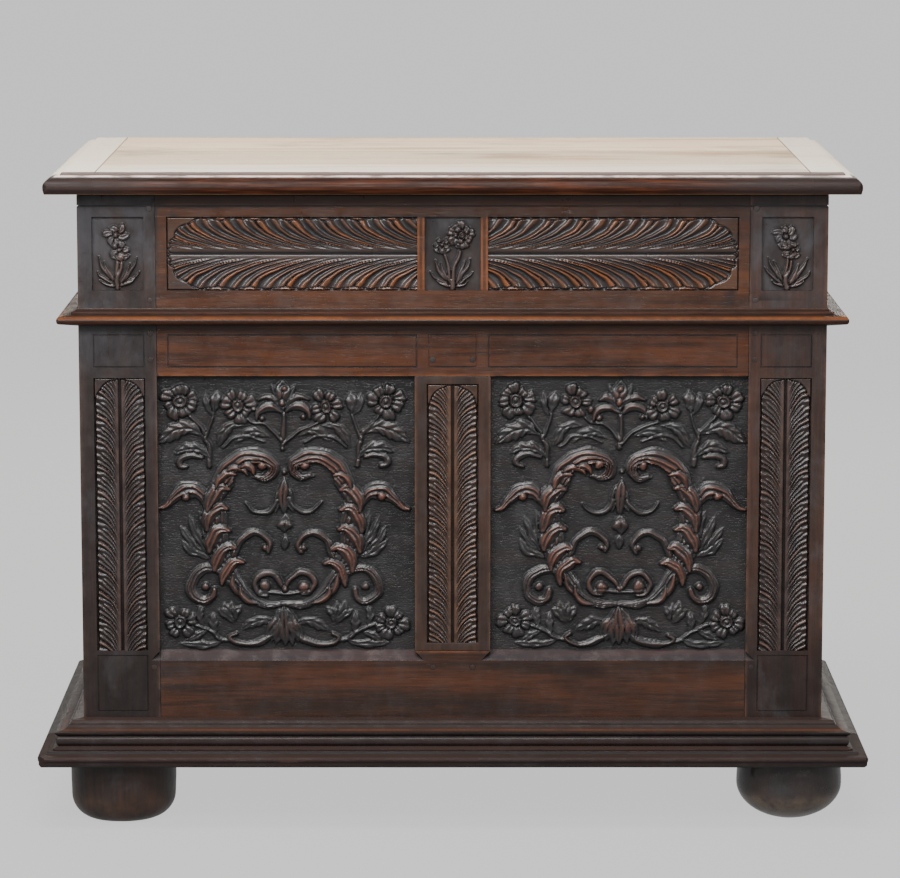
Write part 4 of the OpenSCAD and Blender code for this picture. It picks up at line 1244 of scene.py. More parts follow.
@dataclass
class CarvedPanel:
    """A front panel with its scrolled wreath, flowers and pendant."""

    name: str
    node: str
    middle: float
    axis: float
    seed: int
    width: float = 371.0
    height: float = 404.0
    low: float = PANEL_LOW
    ground: float = -261.15
    thickness: float = 16.0
    full_relief: float = 9.0
    left_flower: tuple[float, float, float, int] = (-66, 360, 25.6, 7)
    corner: tuple[float, float, float, int] = (-152, 39, 24, 6)
    carving: CarvingField = field(init=False)
    rng: random.Random = field(init=False)

    def __post_init__(self) -> None:
        """Sets up the field a little wider than the opening."""
        self.rng = random.Random(self.seed)
        self.carving = CarvingField(self.middle - self.width / 2 - 1, self.low - 1, self.width + 2,
                                    self.height + 2, stray=1.1, seed=self.seed)

    def placed(self, points: list[Point], side: int) -> list[Point]:
        """Moves points from the ornament's axis to the panel, mirrored for the left side.

        Args:
            points: The points, from the axis and the opening's foot.
            side: 1 for right, -1 for left.

        Returns:
            The points in place, each form a little off as handwork is.
        """
        dx, dz = self.rng.uniform(-1.2, 1.2), self.rng.uniform(-1.2, 1.2)
        return [(self.middle + self.axis + side * x + dx, self.low + z + dz) for x, z in points]

    def scroll(self, side: int, points: list[Point], widths: list[float], relief: list[float] | float,
               flutes: int = 1, edge: int = 0) -> None:
        """Carves a scroll on one side."""
        fuller = [width * 1.12 for width in widths]
        self.carving.scroll(self.placed(points, side), fuller, relief, flutes, edge * side, bite=0.55)

    def leaf(self, side: int, points: list[Point], half_width: float, relief: float,
             lobes: float = 3) -> None:
        """Carves a leaf on one side."""
        self.carving.leaf(self.placed(points, side), half_width * 1.3, relief, lobes)

    def tongue(self, side: int, points: list[Point], half_width: float, relief: float,
               flutes: int = 3) -> None:
        """Carves a fluted leaf tongue on one side."""
        widths = [half_width * share for share in (0.35, 0.8, 1.0, 1.0, 0.75, 0.3)]
        heights = [relief * 0.7, relief, relief, relief * 0.8]
        self.carving.scroll(self.placed(points, side), widths, heights, flutes, bite=0.38, cut=1.0, cover=0.5)

    def knob(self, side: int, x: float, z: float, radius: float, relief: float) -> None:
        """Carves a bead on one side."""
        ((px, pz),) = self.placed([(x, z)], side)
        self.carving.knob(px, pz, radius, relief)

    def flower(self, side: int, x: float, z: float, radius: float, petals: int, relief: float) -> None:
        """Carves a flower on one side."""
        ((px, pz),) = self.placed([(x, z)], side)
        self.carving.flower(px, pz, radius, petals, relief, self.rng.random(), self.rng.uniform(0.93, 1.04))

    def carve_stems(self, side: int) -> None:
        """Carves the stems and loose leaves on one side."""
        self.scroll(side, [(106, 272), (107, 298), (112, 309), (115, 322)], [3.4, 2.8, 2.6], 5.2)
        self.scroll(side, [(115, 320), (124, 331), (134, 342), (142, 354)], [2.5, 2.0], 4.8)
        self.scroll(side, [(113, 312), (106, 330), (101, 345), (100, 358)], [2.3, 1.8], 4.2)
        self.leaf(side, [(100, 350), (99, 364), (97, 380)], 6.5, 5.5, 2)
        self.leaf(side, [(103, 346), (110, 360), (112, 378)], 4.0, 4.0, 2)
        self.leaf(side, [(117, 317), (135, 327), (157, 322), (181, 305)], 10, 6, 5)
        self.leaf(side, [(106, 284), (122, 296), (142, 298), (158, 291)], 7, 5.5, 4)
        self.scroll(side, [(118, 284), (136, 287), (150, 282), (150, 272), (142, 270)],
                    [2.5, 4, 4.5, 4, 3], 6, 2)
        self.leaf(side, [(20, 314), (36, 322), (52, 320), (66, 308)], 6.5, 4.6, 4)
        self.leaf(side, [(58, 330), (74, 330), (88, 318), (98, 300)], 6, 4.6, 4)
        self.scroll(side, [(30, 306), (50, 314), (72, 312), (90, 298)], [1.6, 2, 1.6], 3.6)
        for tip in ([(122, 148), (136, 162), (148, 182)], [(124, 142), (136, 148), (148, 162)],
                    [(113, 166), (118, 186), (124, 205)], [(118, 156), (130, 176), (138, 198)]):
            self.leaf(side, [(107, 136), *tip], 4.6, 4.4, 3)
        self.scroll(side, [(111, 196), (113, 218), (122, 232), (136, 236), (150, 232), (161, 222),
                           (171, 212), (181, 208)], [2.6, 3.4, 7, 11, 11.5, 8, 5, 2.4], 8.5, 3)
        self.knob(side, 141, 226, 6.0, 9.5)

    def carve_foot(self, side: int) -> None:
        """Carves the scrolls, leaves and palmette at the panel's foot on one side."""
        self.scroll(side, [(74, 12), (92, 16), (106, 26), (124, 35), (140, 39)], [2.8, 2.4, 2], 4.6)
        for points, wide in (([(100, 22), (103, 38), (102, 56)], 4.6),
                             ([(112, 28), (128, 22), (146, 12)], 4.6),
                             ([(88, 15), (108, 8), (130, 7), (152, 10)], 4.4),
                             ([(118, 34), (124, 50), (122, 66)], 4.2)):
            self.leaf(side, points, wide, 4.4, 3)
        for tip in ((64, 64), (76, 70), (88, 70), (97, 60)):
            self.leaf(side, [(76, 40), ((76 + tip[0]) / 2 + 2, 54), tip], 5, 4.4, 2)
        self.leaf(side, [(18, 40), (34, 42), (50, 36), (62, 28)], 6, 3.8, 4)
        self.scroll(side, [(9, 42), (13, 28), (24, 17), (40, 11), (58, 8), (73, 11), (79, 19), (71, 24)],
                    [2.4, 3.4, 4.2, 4.4, 4, 3.4, 3, 2.6], 6, 2)
        for x, z in ((27, 20), (19, 12), (10, 8)):
            self.leaf(side, [(1, 64), (x * 0.5, 42), (x, z)], 6.5, 7, 2)

    def carve_wreath(self, side: int) -> None:
        """Carves one half of the wreath with its volutes."""
        self.scroll(side, [(86, 104), (98, 117), (115, 119), (130, 109), (137, 94), (132, 79), (119, 71),
                           (107, 76), (103, 88)], [3, 4.5, 5.5, 6.5, 6.5, 6, 5.5, 4.5, 3.5], 7, 3)
        self.knob(side, 116, 93, 6, 6.5)
        self.scroll(side, [(82, 108), (76, 130), (70, 148), (61, 164), (45, 173), (29, 168), (20, 156),
                           (24, 145)], [4, 5, 5, 5, 5, 4.6, 4, 3.4], 7, 2)
        self.knob(side, 28, 150, 5, 7)
        self.scroll(side, [(0, 66.6), (28, 66), (50, 76), (67, 94), (81, 113), (93, 140), (98, 169),
                           (100, 201), (101, 232)],
                    [3.6, 5, 7, 9.5, 12.5, 14.5, 15.5, 14.5, 10], [5.5, 6.2, 7, 7.4, 7.4], 5)
        self.scroll(side, [(113, 196), (110, 222), (104, 248), (96, 268), (82, 285), (62, 296), (42, 298),
                           (23, 292), (9, 280), (6, 268), (12, 255), (27, 248), (43, 254)],
                    [6, 8, 11, 14.5, 17, 18, 18, 16, 12.5, 9.5, 7.5, 6, 3.4],
                    [7, 8.5, 9.5, 10, 10, 10, 9.5, 9, 8, 5.5], 5, 1)
        for x, z, wide in ((90, 100, 8.5), (101, 122, 10.0), (110, 150, 11.0), (113, 180, 11.0),
                           (111, 210, 10.0)):
            self.tongue(side, [(x - 1, z - 4), (x - 3, z + 10), (x - 10, z + 23), (x - 21, z + 30),
                               (x - 31, z + 28)], wide, 9.8)
        hung = ([(98, 238), (92, 252), (82, 260), (70, 258)], [(82, 262), (72, 268), (60, 266), (54, 258)],
                [(64, 270), (54, 272), (45, 267), (42, 259)])
        for points in hung[:3 if side < 0 else 1]:
            self.tongue(side, points, 6.0, 9.8, 2)
        for points in ([(56, 74), (68, 84), (76, 97), (78, 112)], [(40, 68), (54, 72), (64, 82), (66, 96)]):
            self.tongue(side, points, 5.0, 8, 2)
        self.knob(side, 31, 272, 6.5, 9.5)
        self.scroll(side, [(0, 88), (10, 104), (24, 114), (38, 110), (45, 97), (38, 85), (27, 82)],
                    [2.6, 3.4, 4, 4, 3.8, 3.4, 3], 6)
        self.knob(side, 27, 93, 9.0, 7.6)

    def carve_middle(self) -> None:
        """Carves what stands on the panel's axis, and the flowers."""
        self.scroll(1, [(0, 296), (0, 318), (0, 346)], [3.4, 2.6, 3], 5.5)
        self.scroll(1, [(2, 304), (15, 319), (28, 326), (54, 336)], [2.4, 1.8], 5)
        self.scroll(1, [(-2, 308), (-23, 331), (-44, 335), (-58, 346)], [2.4, 1.8], 5)
        for side in (-1, 1):
            self.leaf(side, [(3, 244), (8, 228), (13, 204)], 5, 6.5, 1)
            self.scroll(side, [(9, 222), (16, 210), (26, 203), (38, 203), (47, 208), (54, 218)],
                        [2.2, 2.8, 3, 2.8, 2.2, 1.6], 5)
            self.flower(side, 150, 366, 27, 7 if side > 0 else 8, 7)
            self.tongue(side, [(3, 350), (14, 358), (26, 358), (36, 350), (38, 341)], 6.5, 7.5, 2)
            self.tongue(side, [(3, 356), (12, 368), (24, 372), (35, 368)], 5.5, 6.5, 2)
            self.leaf(side, [(2, 360), (8, 374), (16, 388)], 5, 5.5, 1)
            self.knob(side, 44, 354, 4.5, 7.0)
            self.knob(side, 30, 342, 4.0, 6.5)
        self.leaf(1, [(0, 254), (0, 230), (0, 200)], 6.5, 8, 1)
        self.leaf(1, [(0, 200), (0, 187), (0, 173)], 9, 6.5, 2)
        self.leaf(1, [(0, 170), (0, 160), (0, 150)], 5, 5.5, 1)
        self.leaf(1, [(0, 66), (0, 36), (0, 7)], 7, 8, 1)
        self.scroll(1, [(-36, 87), (0, 84), (36, 87)], [1.8, 2.4, 1.8], 4.5)
        self.knob(1, 0, 91, 4.4, 7)
        self.knob(1, 0, 262, 3.6, 6)
        self.flower(1, 61, 358, 25, 6, 7)
        self.flower(1, *self.left_flower, 7)
        self.flower(1, 155, 39.5, 24.5, 7, 6.5)
        self.flower(1, *self.corner, 6.5)
        self.leaf(1, [(0, 350), (0, 372), (0, 397)], 9, 7, 2)
        self.knob(1, 0, 364, 5.5, 8)
        self.knob(1, 0, 384, 4.5, 8)

    def build(self) -> bpy.types.Object:
        """Carves the panel.

        Returns:
            The piece, which stands for the panel's CAD node.
        """
        for side in (-1, 1):
            self.carve_stems(side)
            self.carve_foot(side)
            self.carve_wreath(side)
        self.carve_middle()
        mesh = self.carving.mesh(self.name, self.ground, self.ground + self.thickness, self.seed,
                                 self.full_relief)
        return stand_in(mesh, self.name, PANEL_WOOD, Grain.ALONG_X, "case", (self.node,))


@dataclass
class FlowerBlock:
    """A small upright field with a cut flower, set in a sunk square.

    Each head has its place from the stem's foot, its radius and its number of petals.
    """

    name: str
    middle: float
    seed: int
    heads: tuple[tuple[float, float, float, int], ...]
    half_width: float = 37.0
    low: float = FRIEZE_LOW
    height: float = FRIEZE_FIELD
    forward: float = 0.45
    thickness: float = 2.0
    full_relief: float = 6.0
    highest: float = 5.9
    many_petals: int = 8

    def carve_leaves(self, carving: CarvingField) -> None:
        """Carves the long thin leaves at the foot of the stem.

        Args:
            carving: The block's field.
        """
        m, z = self.middle, self.low
        rng = random.Random(self.seed)
        for side in (-1, 1):
            for tip_x, tip_z, bow, wide in ((27, 46, 6, 3.0), (31, 30, 9, 2.6), (18, 40, 3, 2.4),
                                            (25, 14, 3, 2.2)):
                tip_x, tip_z = tip_x + rng.uniform(-3, 2), tip_z + rng.uniform(-4, 4)
                points = [(m, z + 5), (m + side * (tip_x * 0.4 + bow * 0.3), z + tip_z * 0.4 + 2),
                          (m + side * (tip_x * 0.75 + bow * 0.3), z + tip_z * 0.72),
                          (m + side * tip_x, z + tip_z)]
                carving.scroll(points, [1.4, wide, wide * 0.8, 0.8], [4.2, 4.6, 3.4], 2)

    def carve_head(self, carving: CarvingField, index: int) -> None:
        """Carves one flower head with its sepals.

        Args:
            carving: The block's field.
            index: The head's number.
        """
        x, up, radius, petals = self.heads[index]
        x, z = self.middle + x, self.low + up
        for side in (-1, 1):
            carving.leaf([(x, z - radius), (x + side * 6, z - radius * 0.7),
                          (x + side * 12, z - radius * 0.55)], 4, 5.2, 1)
        carving.knob(x, z - radius * 0.78, 4.6, 6.0)
        if petals >= self.many_petals:
            carving.flower(x, z, radius, petals, 5.6, 0.2)
            carving.flower(x, z, radius * 0.62, 5, 5.8, 0.6)
            return
        for petal in range(petals):
            angle = 2 * math.pi * (petal + 0.37 * self.seed + 0.1 * index) / petals
            reach = radius * (0.92 + 0.16 * math.sin(petal * 2.3 + self.seed))
            turn = angle + 0.35
            carving.leaf([(x + 3 * math.cos(angle), z + 3 * math.sin(angle)),
                          (x + reach * 0.6 * math.cos(angle), z + reach * 0.55 * math.sin(angle)),
                          (x + reach * math.cos(turn), z + reach * 0.85 * math.sin(turn))],
                         radius * 0.30, 5.4 - 0.5 * (petal % 2), 1, blunt=0.62)
        carving.knob(x, z, radius * 0.2, 6.2)

    def build(self) -> bpy.types.Object:
        """Carves the block's flower, stem and leaves.

        Returns:
            The piece.
        """
        m, z = self.middle, self.low
        carving = CarvingField(m - self.half_width, z, 2 * self.half_width, self.height, step=0.9, stray=1.0,
                               seed=self.seed)
        self.carve_leaves(carving)
        for x, up, radius, _ in self.heads:
            carving.scroll([(m, z + 3), (m + x * 0.2 - 2.5, z + up * 0.3), (m + x * 0.6 + 2, z + up * 0.6),
                            (m + x, z + up - radius * 0.4)], [3.2, 2.6, 2.2], 5.0, 2)
        for index in range(len(self.heads)):
            self.carve_head(carving, index)
        carving.heights = np.minimum(carving.heights, self.highest)
        mesh = carving.mesh(self.name, FIELD_GROUND - self.forward, FIELD_GROUND + self.thickness, self.seed,
                            self.full_relief)
        return stand_in(mesh, self.name, FRAME_WOOD, Grain.ALONG_Z, "case")


class Way(Enum):
    """The way that a leaf band grows: its across, along and outward directions."""

    UP = ((1, 0, 0), (0, 0, 1), (0, -1, 0))
    RIGHT = ((0, 0, -1), (1, 0, 0), (0, -1, 0))
    LEFT = ((0, 0, 1), (-1, 0, 0), (0, -1, 0))


@dataclass(frozen=True)
class LobeProfile:
    """Heights through one lobe of a leaf band near its stem and near its edge, and across the stem."""

    lobe: tuple[Point, ...]
    tip: tuple[Point, ...]
    stem: tuple[Point, ...]


FINE_LOBES = LobeProfile(
    ((0, 0.02), (0.05, 0.40), (0.12, 0.56), (0.18, 0.30), (0.24, 0.42), (0.31, 0.66), (0.38, 0.34),
     (0.45, 0.48), (0.52, 0.74), (0.59, 0.38), (0.66, 0.50), (0.73, 0.62), (0.79, 0.40), (0.86, 0.86),
     (0.92, 1.0), (0.965, 0.9), (1, 0.02)),
    ((0, 0.02), (0.06, 0.46), (0.13, 0.60), (0.20, 0.34), (0.30, 0.48), (0.37, 0.70), (0.45, 0.38),
     (0.58, 0.52), (0.66, 0.76), (0.74, 0.42), (0.84, 0.56), (0.91, 1.0), (0.96, 0.8), (1, 0.02)),
    ((0, 0.0), (0.03, 0.08), (0.07, 0.66), (0.12, 0.72), (1, 0.6)))
BOLD_LOBES = LobeProfile(
    ((0, 0.02), (0.04, 0.50), (0.10, 0.76), (0.15, 0.68), (0.21, 0.34), (0.28, 0.16), (0.35, 0.22),
     (0.41, 0.52), (0.46, 0.80), (0.51, 0.70), (0.58, 0.32), (0.66, 0.12), (0.74, 0.14), (0.81, 0.44),
     (0.87, 0.86), (0.92, 1.0), (0.965, 0.9), (1, 0.02)),
    ((0, 0.02), (0.05, 0.52), (0.12, 0.76), (0.19, 0.56), (0.29, 0.36), (0.39, 0.52), (0.48, 0.80),
     (0.57, 0.54), (0.68, 0.24), (0.77, 0.44), (0.85, 0.90), (0.91, 1.0), (0.96, 0.9), (1, 0.02)),
    ((0, 0.04), (0.02, 0.20), (0.04, 0.46), (0.065, 0.54), (1, 0.54)))

Settings = dict[str, tuple[str, object]]


def bake_nodes(tree: bpy.types.NodeTree, settings: Settings, name: str,
               start: bpy.types.Mesh | None = None) -> bpy.types.Mesh:
    """Runs a Geometry Nodes tree once and keeps its result as a plain mesh.

    Args:
        tree: The tree.
        settings: Type and value of its named inputs.
        name: Name of the mesh.
        start: Mesh that the tree starts from, if it needs one.

    Returns:
        The mesh.
    """
    host = bpy.data.objects.new(name, start or bpy.data.meshes.new(name))
    bpy.context.scene.collection.objects.link(host)
    modifier = host.modifiers.new("shape", "NODES")
    modifier.node_group = tree
    for item in tree.interface.items_tree:
        if item.in_out == "INPUT" and settings[item.name][1] is not None:
            modifier[item.identifier] = settings[item.name][1]
    depsgraph = bpy.context.evaluated_depsgraph_get()
    mesh = bpy.data.meshes.new_from_object(host.evaluated_get(depsgraph), depsgraph=depsgraph)
    host.modifiers.clear()
    bpy.data.objects.remove(host)
    mesh.name = name
    return mesh


def tree_with(name: str, settings: Settings) -> tuple[Sheet, dict[str, Signal]]:
    """Starts a Geometry Nodes tree.

    Args:
        name: The tree's name.
        settings: Type and value of its named inputs.

    Returns:
        The tree and its inputs as signals.
    """
    tree = bpy.data.node_groups.new(name, "GeometryNodeTree")
    sheet = Sheet(tree)
    for label, (kind, _) in settings.items():
        tree.interface.new_socket(label, in_out="INPUT", socket_type=f"NodeSocket{kind}")
    tree.interface.new_socket("Geometry", in_out="OUTPUT", socket_type="NodeSocketGeometry")
    start = sheet.add("NodeGroupInput")
    return sheet, {label: sheet.out(start, label) for label in settings}


def finish_tree(sheet: Sheet, shape: Signal, finish: Signal) -> None:
    """Ends a tree with real geometry and its material.

    Args:
        sheet: The tree.
        shape: The geometry.
        finish: The material.
    """
    real = sheet.out(sheet.add("GeometryNodeRealizeInstances", shape))
    dressed = sheet.wired("GeometryNodeSetMaterial", {"Geometry": real, "Material": finish})
    sheet.add("NodeGroupOutput", sheet.out(dressed))


def curve(sheet: Sheet, value: Signal, points: tuple[Point, ...]) -> Signal:
    """Reads a height off a drawn curve.

    Args:
        sheet: The tree.
        value: Place along the curve, from 0 to 1.
        points: Points of the curve.

    Returns:
        The height.
    """
    node = sheet.add("ShaderNodeFloatCurve")
    drawn = node.mapping.curves[0].points
    for _ in range(len(points) - 2):
        drawn.new(0.5, 0.5)
    for dot, point in zip(drawn, points):
        dot.location = point
    node.mapping.update()
    sheet.feed(node.inputs["Value"], value)
    return sheet.out(node)


@dataclass
class LeafBand:
    """A long leaf with a middle stem, whose lobes sweep out one after another.

    Lengths are in millimetres. The sweep is how many lobes the leaf lags behind at its edge, bend is how soon
    it does, flush is the height of the ground beside it as a share of the relief, and notch the depth between
    the tips of its lobes.
    """

    name: str
    way: Way
    foot: Point
    length: float
    half_width: float
    pitch: float
    sweep: float
    bend: float
    seed: int
    flush: float = 0.0
    notch: float = 0.04
    profile: LobeProfile = FINE_LOBES
    finish: WoodFinish = FRAME_WOOD
    relief: float = 6.4
    step: float = 0.95
    forward: float = 0.3
    thickness: float = 2.0

    def cells(self) -> tuple[int, int]:
        """Gives the number of columns and rows of the leaf's grid."""
        return round(2 * self.half_width / self.step) + 1, round(self.length / self.step) + 1

    def settings(self, grain: Grain) -> Settings:
        """Lists the named inputs of the band's tree.

        Args:
            grain: The way that the grain runs.

        Returns:
            Type and value of each.
        """
        columns, rows = self.cells()
        return {
            "Length": ("Float", self.length * MM), "Half width": ("Float", self.half_width * MM),
            "Pitch": ("Float", self.pitch * MM), "Sweep": ("Float", self.sweep), "Bend": ("Float", self.bend),
            "Relief": ("Float", self.relief * MM), "Flush": ("Float", self.flush),
            "Notch": ("Float", self.notch), "Columns": ("Int", columns), "Rows": ("Int", rows),
            "Seed": ("Float", float(self.seed)), "Wood": ("Material", self.finish.material(grain))}

    def tree(self, settings: Settings) -> bpy.types.NodeTree:
        """Builds the Geometry Nodes tree that gives the leaf its shape.

        Args:
            settings: Type and value of its named inputs.

        Returns:
            The tree.
        """
        sheet, given = tree_with(f"{self.name}_shape", settings)
        grid = sheet.add("GeometryNodeMeshGrid", given["Half width"] * 2.0, given["Length"],
                         given["Columns"], given["Rows"])
        spot = sheet.out(sheet.add("GeometryNodeInputPosition"))
        across, along, _ = sheet.axes(spot)
        wander = sheet.wired("ShaderNodeTexNoise", {
            "Vector": spot, "W": given["Seed"], "Scale": 32.0, "Detail": 1.0}, noise_dimensions="4D")
        stray = sheet.out(wander) - 0.5
        out = across.calc("ABSOLUTE") / given["Half width"]
        run = along + given["Length"] * 0.5
        swept = (out / given["Bend"] * -1.0).calc("EXPONENT").flipped() * given["Sweep"]
        phase = run / given["Pitch"] - swept + stray * 0.24 + across.calc("SIGN") * 0.07
        place = phase.calc("FRACT")
        tipped = out.eased(0.60, 0.84)
        carved = curve(sheet, place, self.profile.lobe) * tipped.flipped()
        carved = carved + curve(sheet, place, self.profile.tip) * tipped
        share = out.eased(0.09, 0.30)
        height = curve(sheet, out, self.profile.stem) * share.flipped() + carved * share
        beyond = ((run - given["Length"]) / given["Half width"] + 1.0).calc("MAXIMUM", 0.0)
        reach = (out * out + beyond * beyond).calc("SQRT")
        notch = (place * math.pi).calc("SINE").flipped() * given["Notch"]
        edge = (reach + notch).eased(0.93, 1.0)
        flush = given["Flush"] * beyond.faded(0.02, 0.3) + beyond.eased(0.02, 0.3) * 0.64
        height = height * edge.flipped() + flush * edge - edge * edge.flipped() * 1.6
        rim = out.calc("MAXIMUM", beyond).eased(0.965, 0.985)
        height = height - rim * flush * 0.7
        height = height.calc("MAXIMUM", 0.0) * given["Relief"]
        up = sheet.add("ShaderNodeCombineXYZ", 0.0, 0.0, height)
        bent = sheet.wired("GeometryNodeSetPosition", {"Geometry": sheet.out(grid), "Offset": sheet.out(up)})
        finish_tree(sheet, sheet.out(bent), given["Wood"])
        return sheet.tree

    def build(self) -> bpy.types.Object:
        """Carves the band in its sunk field.

        Returns:
            The piece.
        """
        grain = Grain.ALONG_Z if self.way is Way.UP else Grain.ALONG_X
        settings = self.settings(grain)
        mesh = bake_nodes(self.tree(settings), settings, self.name)
        heights = places(mesh)[:, 2] / MM
        across, along, outward = (Vector(way) for way in self.way.value)
        turned = Matrix((across, along, outward)).transposed().to_4x4()
        x, z = self.foot
        middle = Vector((x, FIELD_GROUND, z)) * MM + along * (self.length * MM / 2)
        mesh.transform(Matrix.Translation(middle) @ turned)
        mesh.transform(Matrix.Translation((0.0, -self.forward * MM, 0.0)))
        close_back(mesh, (FIELD_GROUND + self.thickness) * MM)
        mark_relief(mesh, heights.reshape(self.cells()), self.relief, self.seed, sunk=0.45 + 0.4 * self.flush)
        return stand_in(mesh, self.name, self.finish, grain, "case")


# Fastenings


@dataclass
class Fastenings:
    """Pegs or nails of one CAD node, made alike and each a little different."""

    node: str
    facing: tuple[Vector, ...]
    finish: WoodFinish | IronFinish
    shank_radius: float
    head_radius: float
    head_height: float
    sides: int
    seed: int
    unevenness: float = 0.35
    taper: float = 0.62
    turn: float = 6.0
    grit: float = 170.0

    def ends(self) -> list[tuple[Vector, Vector, float]]:
        """Finds where each peg or nail shows.

        Returns:
            For each one the place of its outer end, the way that it faces and its length.
        """
        shape = bmesh.new()
        shape.from_mesh(frame["nodes"][self.node].data)
        bmesh.ops.remove_doubles(shape, verts=shape.verts, dist=WELD)
        found, seen = [], set()
        for vert in shape.verts:
            if vert in seen:
                continue
            group, waiting = [], [vert]
            while waiting:
                now = waiting.pop()
                if now not in seen:
                    seen.add(now)
                    group.append(now.co.copy())
                    waiting += [edge.other_vert(now) for edge in now.link_edges]
            low = Vector(map(min, *group))
            high = Vector(map(max, *group))
            middle, size = (low + high) / 2, high - low
            for way in self.facing:
                axis = max(range(3), key=lambda i: abs(way[i]))
                this_side = len(self.facing) == 1 or way[axis] * middle[axis] > 0
                if size[axis] >= max(size) - 1e-6 and this_side:
                    found.append((middle + way * (size[axis] / 2), way, size[axis]))
        shape.free()
        return found

    def settings(self, length: float) -> Settings:
        """Lists the named inputs of the tree.

        Args:
            length: Length of a peg or nail, in metres.

        Returns:
            Type and value of each.
        """
        return {
            "Ends": ("Geometry", None), "Shank radius": ("Float", self.shank_radius * MM),
            "Length": ("Float", length), "Head radius": ("Float", self.head_radius * MM),
            "Head height": ("Float", self.head_height * MM), "Sides": ("Int", self.sides),
            "Unevenness": ("Float", self.unevenness * MM), "Seed": ("Int", self.seed),
            "Finish": ("Material", self.finish.material(Grain.ALONG_Z))}

    def one(self, sheet: Sheet, given: dict[str, Signal]) -> Signal:
        """Shapes one peg or nail, with the top of its head at the origin.

        Args:
            sheet: The tree.
            given: The tree's inputs.

        Returns:
            Its geometry.
        """
        whole, top = given["Length"], given["Head height"]
        shank = sheet.wired("GeometryNodeMeshCylinder", {
            "Vertices": given["Sides"], "Radius": given["Shank radius"], "Depth": whole - top})
        head = sheet.wired("GeometryNodeMeshCone", {
            "Vertices": given["Sides"], "Radius Top": given["Head radius"] * self.taper,
            "Radius Bottom": given["Head radius"], "Depth": top})
        both = sheet.add("GeometryNodeJoinGeometry")
        for part, depth in ((shank, whole * -0.5 - top * 0.5), (head, top * -1.0)):
            down = sheet.out(sheet.add("ShaderNodeCombineXYZ", 0.0, 0.0, depth))
            moved = sheet.wired("GeometryNodeTransform", {
                "Geometry": sheet.out(part, "Mesh"), "Translation": down})
            sheet.tree.links.new(moved.outputs[0], both.inputs[0])
        return sheet.out(both)

    def tree(self, settings: Settings) -> bpy.types.NodeTree:
        """Builds the tree that sets a peg or nail at every end.

        Args:
            settings: Type and value of its named inputs.

        Returns:
            The tree.
        """
        sheet, given = tree_with(f"{self.node}_set", settings)
        facing = sheet.add("GeometryNodeInputNamedAttribute", "facing", data_type="FLOAT_VECTOR")
        turned = sheet.wired("FunctionNodeAlignRotationToVector", {"Vector": sheet.out(facing)}, axis="Z")
        spin = sheet.wired("FunctionNodeRandomValue", {
            "Min": 0.0, "Max": self.turn, "Seed": given["Seed"]}, data_type="FLOAT")
        angle = next(socket for socket in spin.outputs if socket.enabled)
        spun = sheet.wired("FunctionNodeAxisAngleToRotation", {"Angle": angle})
        rotation = sheet.wired("FunctionNodeRotateRotation", {
            "Rotation": sheet.out(turned), "Rotate By": sheet.out(spun)}, rotation_space="LOCAL")
        dots = sheet.add("GeometryNodeMeshToPoints", given["Ends"])
        set_down = sheet.wired("GeometryNodeInstanceOnPoints", {
            "Points": sheet.out(dots), "Instance": self.one(sheet, given), "Rotation": sheet.out(rotation)})
        real = sheet.out(sheet.add("GeometryNodeRealizeInstances", sheet.out(set_down)))
        rough = sheet.wired("ShaderNodeTexNoise", {"Scale": self.grit})
        stray = sheet.add("ShaderNodeVectorMath", rough.outputs["Color"], (0.5, 0.5, 0.5),
                          operation="SUBTRACT")
        offset = sheet.wired("ShaderNodeVectorMath", {
            "Vector": sheet.out(stray), "Scale": given["Unevenness"]}, operation="SCALE")
        moved = sheet.wired("GeometryNodeSetPosition", {"Geometry": real, "Offset": sheet.out(offset)})
        finish_tree(sheet, sheet.out(moved), given["Finish"])
        return sheet.tree

    def build(self) -> bpy.types.Object:
        """Sets the pegs or nails in place of their CAD node.

        Returns:
            The piece.
        """
        ends = self.ends()
        start = bpy.data.meshes.new(f"{self.node}_ends")
        start.from_pydata([tuple(end) for end, _, _ in ends], [], [])
        layer = start.attributes.new("facing", "FLOAT_VECTOR", "POINT")
        layer.data.foreach_set("vector", [part for _, way, _ in ends for part in way])
        settings = self.settings(ends[0][2])
        mesh = bake_nodes(self.tree(settings), settings, self.node, start)
        mesh.shade_smooth()
        mesh.set_sharp_from_angle(angle=HEAD_CREASE)
        body = frame["nodes"][self.node]["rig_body"]
        return stand_in(mesh, f"{self.node}_set", self.finish, Grain.ALONG_Z, body, (self.node,))


# Sub-assemblies


